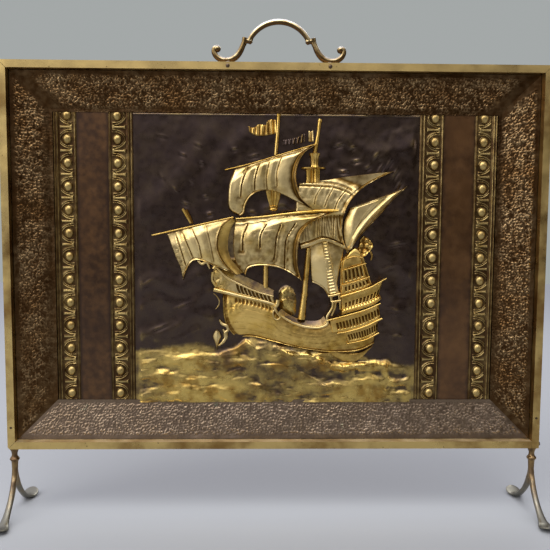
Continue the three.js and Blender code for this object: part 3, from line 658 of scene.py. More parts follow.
# Hammered dents that catch the light in the sky: centre, length, slant in degrees, depth.
SKY_DENTS = [
    (76, 141, 7, 15, 1.1), (93, 138, 5, 30, 0.8), (98, 122, 7, 10, 1.2), (82, 109, 8, 2, 1.6),
    (112, 114, 6, 40, 0.9), (103, 100, 6, 5, 1.3), (122, 128, 8, 55, 0.8), (128, 112, 11, 58, 1.2),
    (138, 118, 10, 60, 1.0), (146, 106, 10, 60, 1.1), (151, 92, 9, 62, 1.0), (137, 70, 7, 30, 0.8),
    (-115, 128, 6, -35, 0.9), (-92, 118, 4, -20, 0.7), (-52, 135, 5, 10, 0.8), (-28, 127, 8, 12, 0.9),
    (-88, 77, 4, 20, 0.8), (-83, 56, 5, 10, 1.5), (-112, 68, 7, -25, 1.0), (-30, 59, 7, -10, 1.0),
    (-140, 100, 8, -60, 0.5), (-125, 86, 9, -50, 0.6), (-104, 95, 6, -40, 0.5), (-96, 140, 7, -30, 0.5),
    (-140, 150, 9, -15, 0.4), (150, 20, 14, 10, 0.6), (140, -10, 12, 20, 0.6), (-120, -60, 16, 20, 0.9),
    (-145, -86, 14, 24, 0.9), (-160, -30, 14, 30, 0.7), (146, -62, 10, -10, 0.8), (152, -96, 8, 0, 0.9),
]
# Broad folds at the lower left of the sky: path, height, width.
SKY_FOLDS = [
    ([(-172, -34), (-146, -26), (-120, -36), (-98, -22)], 1.6, 11),
    ([(-172, -62), (-150, -52), (-112, -60), (-84, -40)], 1.3, 8),
    ([(-168, -98), (-128, -88), (-104, -70), (-82, -74)], 1.8, 9),
    ([(-150, -104), (-124, -102), (-98, -88)], 1.2, 6),
    ([(138, -40), (150, -60), (156, -96)], 1.2, 10),
    ([(20, 60), (8, 66), (-14, 62)], 1.2, 5),
    ([(-160, 60), (-120, 96), (-84, 150)], 1.2, 14),
    ([(-80, 90), (-70, 120), (-40, 150)], 1.0, 11),
    ([(80, 150), (120, 132), (168, 140)], 1.4, 10),
    ([(120, 40), (140, 0), (164, -20)], 1.2, 13),
]


# Broken water along the foot of the hull: path, height, width.
SPRAY = [
    ([(4, -113), (14, -117), (24, -120), (40, -120), (50, -124), (60, -127)], 2.8, 1.7),
    ([(56, -128), (66, -132), (76, -136)], 2.4, 2.2),
    ([(76, -134), (86, -136), (96, -134)], 3.0, 4.4),
    ([(100, -134), (116, -131), (132, -132)], 1.2, 3.0),
    ([(130, -132), (139, -135), (138, -143), (147, -156)], 1.8, 3.4),
]


def spray(x, z):
    """Height of the broken water, and how brightly it is worn."""
    clots = np.clip(0.75 + 0.9 * octaves(x, z, 7, 35), 0.1, 1.3)
    high, bright = np.zeros(x.shape), np.zeros(x.shape)
    for path, rise, width in SPRAY:
        near = lump(distance_to(x, z, path, 24) + 1.2 * noise(x, z, 5, 36), width)
        high = np.maximum(high, rise * near * clots)
        bright = np.maximum(bright, near * smooth(clots))
    return high, bright


def sea_top(x):
    """Height of the sky's lower edge above the middle of the panel."""
    line = spline(SEA_LINE, 240)
    return np.interp(x, line[:, 0], line[:, 1]) + 0.8 * noise(x, x * 0, 5, 41) + 0.5 * noise(x, x * 0, 2, 42)


def sky_height(x, z, warp):
    """The worked metal of the sky, with its dents and folds."""
    worked = 1.1 * octaves(x + 2 * warp, z - 2 * warp, 34, 5, 3) + 0.1 * noise(x, z, 7, 8)
    sky = worked * (0.6 + 0.9 * smooth((x + 40) / 120))
    for cx, cz, half, slant, deep in SKY_DENTS:
        a = math.radians(slant)
        along = (x - cx) * math.cos(a) + (z - cz) * math.sin(a)
        across = -(x - cx) * math.sin(a) + (z - cz) * math.cos(a)
        wobble = across + 0.6 * noise(x, z, 4, 12)
        sky += 1.1 * deep * lump(along, half * 0.6) * (lump(wobble, 1.7) - 0.8 * lump(wobble + 2.4, 2.0))
    for path, high, width in SKY_FOLDS:
        sky += high * lump(distance_to(x, z, path, 24), width)
    return sky


def water_height(x, z, warp, risen):
    """The sea: swell and streaks that grow with risen, the named wave ridges, and clots of foam."""
    swell = octaves(x * 0.45 + 1.6 * warp, z * 1.05 + 0.8 * warp, 17, 21)
    streak = octaves(x * 0.4 - 2.2 * warp, z * 1.5 + 1.8 * warp, 13, 61)
    water = (1.8 + 3.8 * swell + 2.0 * streak + 0.2 * smooth(1 - 3 * np.abs(streak))) * risen
    for path, high, above, below in WAVES:
        line = spline(path, 120)
        crest = np.interp(x, line[:, 0], line[:, 1])
        gone = np.maximum(line[0, 0] - x, x - line[-1, 0])
        rise = z - crest + 0.3 * warp
        fall = np.where(rise > 0, lump(rise, above * 0.7), lump(rise, below))
        water += 0.58 * high * fall * (1 - smooth(gone / 14))
    clots, _ = cells(x + warp, z, 4.4, 33)
    for cx, cz, wide, tall, high in FOAM:
        near = lump(np.hypot((x - cx) / wide, (z - cz) / tall), 0.9)
        water += 0.7 * high * near * (0.4 + 0.4 * smooth(1 - 1.2 * clots))
    return water


def ground_height(x, z):
    """Height of the sky and sea, the share of sea, and how brightly the broken water is worn."""
    warp = 5 * octaves(x, z, 30, 3)
    depth = sea_top(x) - z
    sea = smooth((depth + 1.5 * noise(x, z, 7, 44)) / 7)
    foam, bright = spray(x, z)
    edge = np.minimum(np.minimum(x + PANEL_HALF, PANEL_HALF - x), 40)
    flat = smooth((edge - 1.5) / 7)
    both = sky_height(x, z, warp) * (1 - sea) + water_height(x, z, warp, smooth(depth / 16)) * sea
    return (both + foam) * flat, sea, bright


def make_ground(material):
    x, z = np.meshgrid(
        np.linspace(-PANEL_HALF, PANEL_HALF, GROUND_COLUMNS),
        np.linspace(PANEL_REACH, -PANEL_REACH, GROUND_ROWS),
    )
    height, sea, bright = ground_height(x, z)
    height = height + 1.0 * lump(z - 176.6, 0.9)  # bent edge that shows under the border
    hollow = softened(height, 31) - height
    washes = 0.7 * octaves(x * 0.5, z * 1.1, 30, 47)
    worn = 0.25 + 0.8 * smooth(hollow / 1.6) + washes + 0.1 * smooth((x - 50) / 120)
    # Darker towards the top of the sea: a painted shadow under the hull and along the sea's upper edge.
    worn += 0.35 * smooth((z + 122) / 14)
    dark = (1 - sea) * (0.985 - 0.1 * smooth(-hollow / 0.5 - 0.4)) + sea * np.clip(worn, 0.02, 0.9)
    dark = dark * (1 - 0.95 * bright)
    height = np.maximum(height, -0.6)
    relief(
        "ship_panel_ground", x, z, height, material, dark, back=SHEET_BACK, replaces=["ship_panel"], sharp=60,
    )


# ---------------- sails
def hem(patch, width, high, sides):
    """The rolled edge of a sail or of a tier of the hull."""
    nearest = patch.nearest(sides)
    return high * lump(nearest - width * 0.9, width * 0.7) - 0.9 * high * lump(nearest - 2.9 * width, width)


def hollows(height, reach=14, gain=1.0):
    """A patina mask: dark where the height lies below its surroundings; the close reach is the patina in the
    hollows, and the wide reach is a painted shade over the broad low parts of a form.
    """
    near = softened(height, reach) - height
    # Painted shade over the broad low parts of a form, beside the forms around it.
    wide = softened(height, 6 * reach) - height
    return np.clip(gain * (1.7 * near + 0.45 * wide), 0, 0.9)


def make_fore_sail(material):
    p = Patch(
        top=[(-135, 30.5), (-106, 38.5), (-76, 45.5), (-53, 50.5)],
        right=[(-53, 50.5), (-65.5, 41.5), (-71.2, 29), (-71.5, 11), (-63, -6), (-51, -18)],
        left=[(-135, 30.5), (-130, 18), (-124, 2), (-118, -12), (-115.5, -26)],
        bottom=[(-115.5, -26), (-110.5, -13), (-103, -3), (-95, -1.5), (-76, -8), (-51, -18)],
        rows=90, cols=120,
    )
    height = 2.6 + 8.4 * smooth(p.u * 1.05) + 3.4 * smooth(p.from_top / 18) * (1 - 0.5 * smooth(p.v - 0.4))
    seams = [
        [(-126, 33), (-119, 12), (-113, -8)], [(-118, 35), (-109, 14), (-104, 2)],
        [(-106, 38), (-97, 20), (-93, 2)], [(-88, 43), (-82, 20), (-78, -2)],
    ]
    height += p.panels(seams, 1.1, 5.0)
    for seam, strong in zip(seams, (1.0, 1.0, 1.0, 0.4)):
        height += p.seam(seam) * smooth((p.from_top - 2) / 8) * strong
    rough = smooth((p.v - 0.2) * 3) * (1 - smooth(p.u * 2.2))
    height += 0.5 * p.cloth(51) + 0.4 * noise(p.x, p.z, 2.6, 54) * rough
    height += hem(p, 1.0, 0.6, "b") + p.lip(1.3, 0.1)
    # The darker strip along the left edge is a painted shade.
    tone = hollows(height) + 0.25 * smooth((p.u - 0.55) * 4) + 0.2 * smooth(1 - p.from_left / 8)
    pressed("fore_sail", p, height, material, tone)


def make_fore_sail_inside(material, dark_material):
    """The hollow back of the fore sail's leech, and the shadowed strip between it and the course."""
    p = Patch(
        top=[(-56, 49.2), (-53, 49), (-50, 48)],
        left=[(-56, 49.2), (-65.5, 41.5), (-71, 29), (-71.2, 11), (-62.5, -6), (-50, -19)],
        right=[(-50, 48), (-56, 38), (-59.5, 26), (-59, 8), (-51.5, -6), (-42, -17)],
        bottom=[(-50, -19), (-46, -18.5), (-42, -17)],
        rows=90, cols=40,
    )
    height = 6.4 - 3.4 * smooth(p.u) + 0.4 * p.cloth(61)
    relief("fore_sail_inside", p.x, p.z, height, material, 0.05 + 0.35 * smooth(p.u * 2 - 1))
    strip = Patch(
        top=[(-54, 46), (-51, 47), (-47, 47.5)],
        left=[(-57, 38), (-60, 26), (-59.6, 8), (-52, -6), (-43, -17)],
        right=[(-48, 48), (-50, 33), (-50.5, 16), (-47.5, -2), (-38, -20)],
        bottom=[(-43, -17), (-40, -18.5), (-38, -20)],
        rows=80, cols=26,
    )
    ledge = lump(strip.z + 1, 2.2)
    height = 2.6 + 2.2 * strip.u + 1.4 * ledge + 0.3 * noise(strip.x, strip.z, 4, 63)
    tone = 0.88 - 0.45 * ledge - 0.3 * smooth((-4 - strip.z) / 4)
    relief("fore_sail_shade", strip.x, strip.z, height, dark_material, tone)


def make_course(material):
    p = Patch(
        top=[(-51, 48.5), (-17, 51), (15, 55.2), (50, 58), (74, 59.5)],
        right=[(74, 59.5), (49.5, 49.5), (35, 39), (28, 25), (25.8, 8), (26.5, -9), (31, -26)],
        left=[(-51, 48.5), (-52.6, 33), (-53.2, 16), (-50.5, -2), (-38, -21)],
        bottom=[(-38, -21), (-34.7, -12), (-26, -8.5), (-11.7, -8), (2.6, -10.4), (16, -16), (31, -26)],
        rows=110, cols=150,
    )
    belly = smooth(p.from_top / 22) * (1 - 0.4 * smooth((p.v - 0.45) * 1.9))
    height = 4.2 + 3.2 * smooth(p.u * 2.2) + 5.4 * belly + 1.4 * smooth(1 - p.from_right / 9)
    seams = [
        ([(-37, 42), (-42, 28), (-43, 11)], 1.1), ([(-14, 43), (-20.5, 30), (-21.6, 14)], 1.1),
        ([(6, 42), (1.3, 28), (-0.8, 6), (-2, -1)], -1.3),
        ([(24, 44), (13.4, 26), (11.4, -3), (11.5, -11)], -1.3),
    ]
    height += p.panels([seam for seam, _ in seams], 1.3, 6.0)
    for seam, shift in seams:
        height += p.seam(seam, shift, 0.8, 1.0)
    patch_edge = [(-17, 34.3), (0.5, 34.4), (-1.2, 12), (-2.4, -1), (-6, -4.5), (-18, -4)]
    height += 0.35 * lump(distance_to(p.x, p.z, patch_edge, 80), 0.8)
    drape = np.abs(np.sin(math.pi * p.u * 7))
    height += 0.8 * lump(p.from_top - 4.5 - 1.6 * drape, 1.3) * (1 - smooth((p.u - 0.8) * 5))
    height += 0.5 * p.cloth(71) + 0.3 * noise(p.x, p.z, 4.5, 74) * smooth((p.v - 0.1) * 4)
    height += hem(p, 1.1, 0.6, "b") + p.lip(1.6, 1.5)
    # The darker strip along the left edge is a painted shade, beside the fore sail.
    tone = hollows(height) + 0.1 + 0.4 * lump(p.from_right - 4.5, 3) + 0.3 * smooth(1 - p.from_left / 10)
    tone += 0.3 * smooth((p.v - 0.3) * 3) * (1 - smooth((p.v - 0.85) * 8))
    pressed("course_sail", p, height, material, tone)


def make_topsail(material):
    p = Patch(
        top=[(-53, 109.5), (-35, 114.8), (-20.7, 119.2), (11.7, 129.2), (33, 135.8), (48, 140.5)],
        right=[(48, 140.5), (33.5, 130), (26, 117), (23.4, 104), (24.6, 90), (30.7, 75), (45.5, 61)],
        left=[(-53, 109.5), (-57.8, 95), (-60, 78.6), (-58.3, 61), (-46, 52.5)],
        bottom=[
            (-46, 52.5), (-40.5, 56), (-37.6, 67), (-31.7, 76.7), (-22, 83), (-9.9, 84), (3, 81.5),
            (16, 75.5), (30, 68), (45.5, 61),
        ],
        rows=100, cols=140,
    )
    belly = smooth(p.from_top / 20) * (1 - 0.5 * smooth((p.v - 0.5) * 2))
    height = 3.0 + 3.0 * smooth(p.u * 2.5) + 5.0 * belly + 1.6 * smooth(1 - p.from_right / 9)
    seams = [
        ([(-37, 112), (-43.7, 92), (-45.3, 77)], 1.0), ([(-23, 116), (-27.9, 97), (-28.4, 85)], 1.0),
        ([(-10.5, 118), (-13.8, 100), (-13.2, 86)], 0.5), ([(4, 124), (-1.1, 106), (-1, 90)], 0.6),
    ]
    height += p.panels([seam for seam, _ in seams], 1.4, 5.5)
    for seam, strong in seams:
        height += p.seam(seam, raised=0.8 * strong, sunk=strong)
    height += 0.5 * p.cloth(81) + 0.35 * noise(p.x, p.z, 3, 84) * smooth(1 - (p.z - 60) / 16)
    height += hem(p, 1.0, 0.6, "b") + p.lip(1.5, 1.9) - 2.0 * (1 - smooth(p.from_left / 4.5)) ** 1.5
    tone = hollows(height) + 0.75 * lump(p.from_right - 5.5, 4) + 0.25 * smooth((p.v - 0.45) * 2.5)
    pressed("fore_topsail", p, height, material, tone)


def make_main_sail(material):
    p = Patch(
        top=[(27, 93.5), (50, 96.7), (88, 102.3), (115, 105.6), (144.5, 109)],
        right=[(144.5, 109), (116, 95), (94.5, 77.5), (84.5, 60), (81.5, 41), (83, 25), (88, 11)],
        left=[(27, 93.5), (24, 70), (24, 40), (30, 12)],
        bottom=[(30, 12), (43, 16), (60, 21.5), (76, 17), (88, 11)],
        rows=150, cols=110,
    )
    fold_line = [(22, 93), (40, 92.6), (56, 92), (72, 90.5), (88, 85), (96, 79)]
    fold = distance_to(p.x, p.z, fold_line, 60)
    fold_z = np.interp(p.x, [22, 56, 72, 88, 140], [93, 92, 90.5, 85, 62])
    above = smooth((p.z - fold_z) / 12)
    height = 8.2 - 3.6 * above + 1.1 * lump(fold, 1.3) - 0.8 * lump(fold - 2.6, 1.4)
    height += 2.4 * lump(distance_to(p.x, p.z, [(97, 86), (90, 72), (84, 58)], 40), 5)
    lower = smooth((58 - p.z) / 6)
    height -= 3.0 * lower
    gap = 1 + 0.2 * noise(p.x, p.z * 0.12, 8, 95)
    pleats = 0.45 * np.cos(p.x * 1.2 * gap) * (0.7 + 0.3 * noise(p.x, p.z * 0.2, 9, 96))
    height += pleats * lower * smooth((p.from_bottom - 6) / 3)
    band = smooth((6 - p.from_bottom) / 1.2)
    height += 1.2 * band - 1.1 * lump(p.from_bottom - 6.8, 0.9)
    seams = [
        ([(54.5, 91), (47, 77), (45, 68)], 0.6), ([(69.5, 91), (61, 74), (58, 65)], 0.6),
        ([(86, 88), (74.5, 73), (70, 61)], 0.9),
    ]
    for seam, sunk in seams:
        height += p.seam(seam, raised=0.5, sunk=sunk)
    height += 0.5 * p.cloth(91) + 0.3 * noise(p.x, p.z, 4, 94) * (1 - lower) * (1 - above)
    height += p.lip(1.2, 0.9)
    dark = hollows(height) + 0.5 * above * (1 - smooth((p.x - 96) / 26)) + 0.3 * lower * (1 - band)
    pressed("main_sail", p, height, material, dark)


def make_mizzen(material):
    p = Patch(
        top=[(90, 64), (103, 68), (116, 72.4), (135, 79.6), (160.5, 90.4)],
        right=[(160.5, 90.4), (146, 76.5), (133, 61.4), (111.5, 38), (98, 22), (90, 8.5)],
        left=[(90, 64), (83.8, 48), (82.8, 30.5), (87.5, 8.5)],
        bottom=[(87.5, 8.5), (90, 8.5)],
        rows=110, cols=90,
    )
    crease = distance_to(p.x, p.z, [(153, 87), (134, 71), (113, 50), (100, 32), (92, 14)], 60)
    height = 5.8 + 5.0 * smooth(p.from_left / 12) * (1 - 0.6 * smooth((p.u - 0.45) * 2.2))
    height += 1.4 * lump(crease, 1.6) - 1.2 * lump(crease - 4.6, 2.0)
    height += p.seam([(126, 75), (108, 56), (97, 38)], raised=0.3, sunk=0.4)
    height += 0.5 * p.cloth(101)
    height += hem(p, 0.9, 0.5, "rt")
    # The darker strip along the left edge is a painted shade.
    tone = hollows(height) + 0.55 * smooth((p.u - 0.74) * 6) + 0.3 * smooth(1 - p.from_left / 6)
    pressed("mizzen_sail", p, height, material, tone)


def make_back_sail(material):
    p = Patch(
        top=[(40, 18), (60, 24), (85, 16)],
        right=[(85, 16), (82.6, 3.7), (78, -20), (75.5, -42)],
        left=[(40, 18), (42, -8), (44, -29)],
        bottom=[(44, -29), (52, -32), (60, -38), (65.5, -46), (75.5, -42)],
        rows=70, cols=60,
    )
    bellied = np.sin(math.pi * np.clip(p.u, 0, 1))
    height = 2.6 + 4.4 * bellied * smooth(p.v * 2.2) * (1 - 0.6 * smooth(p.v * 2 - 1))
    height += 0.6 * p.cloth(111) + hem(p, 0.9, 0.4, "b")
    pressed("back_sail", p, height, material, hollows(height, 10) + 0.5 * smooth(1 - p.v * 3.2))


def make_pennant(name, top, bottom, folds, material, patina, high):
    """A flag whose folds run down it and grow deeper towards its free end."""
    p = Patch(top=top, bottom=bottom, rows=30, cols=90)
    wave = np.sin(2 * math.pi * folds * p.u ** 0.9 + 0.8 * p.v)
    height = high + 1.1 * wave * (0.35 + 0.65 * p.u) + 0.2 * p.cloth(7)
    pressed(name, p, height, material, patina + 0.5 * smooth(-wave) + 0.35 * (1 - p.u), 0.5)


def make_sails(material, gold_material, dark_material):
    make_back_sail(material)
    make_main_sail(material)
    make_mizzen(material)
    make_topsail(material)
    make_fore_sail(material)
    make_fore_sail_inside(gold_material, dark_material)
    make_course(material)
    make_pennant(
        "fore_pennant",
        [(-35, 162.5), (-29, 160.5), (-22, 164.8), (-15, 164), (-10, 170), (-2, 170.5)],
        [(-34, 156), (-27.6, 152), (-20, 151), (-11.4, 152), (-1, 154)], 6, gold_material, 0.35, 1.6,
    )
    make_pennant(
        "main_pennant",
        [(7, 146), (16, 147.5), (26, 150), (34, 155)],
        [(7, 140), (16, 140.5), (26, 142), (34, 144)], 6, dark_material, 0.75, 1.0,
    )
    make_pennant(
        "main_pennant_end",
        [(38.5, 157.5), (41, 156.5), (44, 158)],
        [(39, 144.5), (41.5, 144), (44.5, 145)], 1, material, 0.15, 1.6,
    )


# ---------------- masts, yards and tops
# Single bars of the rig: path, radii along it, height of the axis above the sheet, and patina.
SPARS = {
    "fore_topmast": ([(-1.4, 128), (0.4, 150), (1.9, 175.5)], [2.2, 2.3, 2.1, 2.2], 1.8, 0.0),
    "main_topmast": ([(46, 127), (49.6, 149), (52.4, 170)], [2.7, 2.4, 2.0, 2.5], 2.0, 0.0),
    "lower_foremast": ([(-13, -4), (-13.1, -36)], 3.3, 2.2, 0.0),
    "lower_mainmast": ([(40, 14), (37.6, -14), (35.4, -46)], [3.2, 3.3, 3.5], 3.0, 0.0),
    "mast_collar": ([(35.6, -43.2), (35.4, -45.8)], 4.4, 3.0, 0.0),
    "mast_foot": ([(35.3, -45), (33.8, -58), (32, -75)], [3.6, 4.2, 5.2], 3.4, 0.0),
    "topsail_yard": (
        [(-63.5, 109), (-35, 116), (12, 130.2), (34, 136.8), (48.5, 141.2)],
        [0.8, 0.9, 0.9, 0.9, 0.8], [4, 4.5, 5, 6, 7], 0.45,
    ),
    "fore_yard": (
        [(-153.5, 28.6), (-120, 36.2), (-90, 43.2), (-53, 51.6)], [0.9, 1.2, 1.0, 0.8], [3, 4.5, 7, 9], 0.2,
    ),
    "course_yard": (
        [(-50, 49.6), (-18, 52.2), (22, 57), (60, 60), (75.5, 60.2)],
        [0.8, 1.2, 1.6, 1.8, 1.5], [7, 8, 9, 10, 10.5], 0.0,
    ),
    "bowsprit": ([(-115.5, 61.5), (-110, 52), (-105.5, 44)], [1.8, 1.8, 1.6], 3.2, 0.0),
    "bowsprit_side": ([(-111.5, 60), (-107, 51), (-103.5, 43.5)], [2.0, 1.9, 1.6], 1.6, 0.85),
}
# Turned forms of the fighting tops: radius and height along the axis.
MAIN_TOP_CUP = [
    (5.6, 130.6), (6.6, 130), (6.4, 128.4), (5.2, 126.5), (4.8, 122), (4.4, 117), (5.2, 114), (7, 112.4),
]
MAIN_TOP_FLOOR = [(13, 113.4), (15.4, 112.8), (15.4, 111.4), (11, 110)]
MAIN_TOP_STEM = [(7.6, 110.6), (7.2, 108), (7.0, 102), (6.8, 98), (7.4, 96), (7.4, 94)]
FORE_TOP_CUP = [(8.6, 86), (7.8, 80), (6.6, 74), (5.0, 68.5), (4.4, 66)]
FORE_TOP_RINGS = [(4.6, 66.4), (5.8, 65.6), (5.8, 64), (4.6, 63.2), (5.4, 62.4), (5.4, 60.8), (4, 59.6)]


def make_masts(material):
    for name, (path, radii, height, patina) in SPARS.items():
        rod_piece(name, path, radii, height, material, patina)
    caps = [
        rod_on_sheet([(1.9, 174.8), (1.9, 177)], 2.6, 2.2, 8),
        rod_on_sheet([(52.2, 168.5), (52.8, 171.4)], [2.9, 2.6], 2.2, 8),
    ]
    seated_piece("mast_caps", caps, material, 0.1)
    main_top = [
        turned_on_sheet(46.2, MAIN_TOP_CUP, 2.5, flutes=10, depth=0.06, sides=80),
        turned_on_sheet(44.8, MAIN_TOP_FLOOR, 2.0, flat=0.5),
        turned_on_sheet(44.4, MAIN_TOP_STEM, 3.4, flutes=11, depth=0.17, sides=88),
    ]
    seated_piece("main_top", main_top, material, 0.2)
    fore_top = [
        turned_on_sheet(-4, FORE_TOP_CUP, 2.8, flutes=11, depth=0.13, sides=88),
        turned_on_sheet(-4, FORE_TOP_RINGS, 2.6),
    ]
    seated_piece("fore_top", fore_top, material, 0.25)


# ---------------- hull
def slots(along, count, wide):
    """Rounded openings spaced evenly from 0 to 1: near 1 inside each, 0 between."""
    phase = np.abs((along * count) % 1 - 0.5)
    return smooth((wide / 2 - phase) / 0.12 + 0.5) * (along > 0) * (along < 1)


def make_hull_body(material):
    p = Patch(
        top=[
            (-67, -42), (-45, -44), (-17, -50), (-1, -57), (3, -67), (11, -73), (22, -79.5), (38.6, -84),
            (56, -84.5), (66, -79), (90, -69.5), (118.8, -60), (130, -52),
        ],
        left=[(-67, -42), (-66.5, -56), (-64.6, -76), (-58, -90), (-50, -99)],
        right=[(130, -52), (127, -63), (127, -73), (125, -88), (124, -106)],
        bottom=[
            (-50, -99), (-28, -98.3), (-5.7, -103), (16.6, -108.5), (38.8, -113), (72, -117.2), (104, -115),
            (124, -106),
        ],
        rows=110, cols=260,
    )
    swell = 4.4 + 6.4 * smooth(p.u * 3.0) - 1.2 * smooth((p.u - 0.62) * 4)
    height = swell - 15 * (p.v - 0.38) ** 2 - 1.6 * smooth(1 - p.from_right / 7)
    for level in (0.3, 0.46, 0.62, 0.78):  # the seams between the planks
        height -= 0.22 * lump(p.v - level - 0.02 * noise(p.x, p.z * 0, 40, 7), 0.014)
    height += 0.8 * p.cloth(121) + 0.2 * noise(p.x * 0.5, p.z, 5, 124)
    height -= 0.8 * lump(p.from_left - 5, 2)
    height += hem(p, 1.1, 0.7, "b") + hem(p, 0.9, 0.6, "l")
    # pale is a painted highlight over the left of the hull.
    pale = lump(p.x + 34, 26) * lump(p.z + 76, 12)
    drips = lump(p.x + 54, 14) * lump(p.z + 60, 9)
    height += 1.6 * drips * octaves(p.x, p.z * 0.6, 5, 126)
    notch = slots((p.x + 52) / 52, 11, 0.55) * lump(p.from_top - 8.2, 2.6)
    height -= 1.4 * notch
    # The wales stand in front of the hull here, so it lies lower behind their openings.
    wale_top = np.interp(p.x, (66, 127.5), (-75.5, -54))
    wale_low = np.interp(p.x, (72, 86, 92, 127), (-91, -89.5, -103.5, -90.5))
    behind = smooth((wale_top - 1 - p.z) / 2) * smooth((p.z - wale_low - 1) / 2) * smooth((p.x - 73) / 4)
    height -= 4.5 * behind * smooth((126 - p.x) / 2)
    # Painted light on the hull: it darkens from left to right, along its left edge and just under its top
    # edge as painted shade, and the pale patch lightens its left part as a painted highlight.
    tone = hollows(height) + 0.16 + 0.3 * smooth((p.u - 0.35) * 1.8) + 0.3 * smooth(1 - p.from_left / 14)
    tone += 0.35 * smooth(1 - p.from_top / 9) - 0.3 * pale - 0.4 * drips + 0.9 * notch
    pressed("hull", p, height, material, tone)


def make_forecastle(material, dark_material):
    wall = Patch(
        top=[(-77, -8), (-61, -22.5), (-39, -33.6), (-22.5, -40.2), (-4, -45)],
        left=[(-77, -8), (-78, -22), (-75, -38)],
        right=[(-4, -45), (-3, -50), (0, -57)],
        bottom=[(-75, -39), (-48.5, -45), (-17, -52), (0, -57)],
        rows=60, cols=280,
    )
    lumps = octaves(wall.x, wall.z, 6, 133) * (1 - smooth(wall.u * 2.2))
    arch = slots((wall.u - 0.4) / 0.56, 9, 0.6) * smooth((wall.v - 0.1) * 9) * smooth((0.8 - wall.v) * 9)
    height = 7.2 + 0.5 * wall.cloth(131) + 1.8 * lumps - 3.4 * arch
    tone = hollows(height) + arch + 0.15 - 0.3 * lumps
    pressed("forecastle_wall", wall, height, material, tone, sharp=60)
    deck = Patch(
        top=[(-76, -3), (-50, -16.5), (-28, -26.5), (-3, -38.5)],
        bottom=[(-77, -8), (-58, -24), (-33, -36), (-4, -45)],
        rows=20, cols=120,
    )
    height = 4.0 + 4.0 * deck.v + 0.3 * deck.cloth(135)
    tone = 0.82 - 0.4 * lump(deck.v - 0.7, 0.25) * smooth(1.4 - 1.6 * deck.u)
    relief("forecastle_deck", deck.x, deck.z, height, dark_material, tone)
    upper_rail = [(-78, -6), (-70, -14), (-61, -22.4), (-39, -33.8), (-22.5, -40.6), (-3.5, -45.8)]
    lower_rail = [(-77, -37.6), (-60, -41.6), (-48.5, -44.6), (-29, -49), (-10, -53.4), (1.5, -57.6)]
    rails = [
        rod_on_sheet(upper_rail, [1.7, 1.4, 1.0, 0.9], 9.4, 80),
        rod_on_sheet(lower_rail, [2.6, 2.3, 2.0, 1.8], 9.8, 80),
    ]
    seated_piece("forecastle_rails", rails, material, 0.0)


def make_waist(material, dark_material):
    rim = [
        (-1, -57), (1, -66), (10.8, -72.8), (21.9, -79.2), (38.6, -83.8), (56, -84), (63.5, -79.5), (63, -71),
        (69.5, -59), (70, -52),
    ]
    seated_piece("waist_rim", [rod_on_sheet(rim, [1.3, 1.6, 1.8, 1.6, 1.2], 10.5, 120)], material, 0.0)
    deck = Patch(
        top=[(7, -62), (16, -69), (28, -74.5), (42, -77), (54, -76), (60, -71)],
        bottom=[(2, -66), (20, -79), (38, -84), (56, -84), (63, -78)],
        rows=18, cols=90,
    )
    tone = 0.85 - 0.3 * smooth(deck.v * 2 - 1)
    relief("waist_deck", deck.x, deck.z, 3 + 6 * deck.v, dark_material, tone)
    bale = Patch(
        top=[(3, -37), (13, -30.5), (25, -36)], bottom=[(1.6, -62), (14, -70), (27, -74)],
        left=[(3, -37), (1, -50), (1.6, -62)], right=[(25, -36), (27.5, -52), (27, -74)], rows=60, cols=50,
    )
    middle = smooth(np.sin(math.pi * bale.u)) * smooth(1.3 * np.sin(math.pi * np.clip(bale.v, 0, 1)))
    lumps = octaves(bale.x, bale.z, 10, 141)
    tone = np.clip(0.985 - middle * (0.6 + 0.9 * lumps), 0.1, 1)
    relief("deck_bale", bale.x, bale.z, (3.2 + 3.8 * lumps) * middle, dark_material, tone)


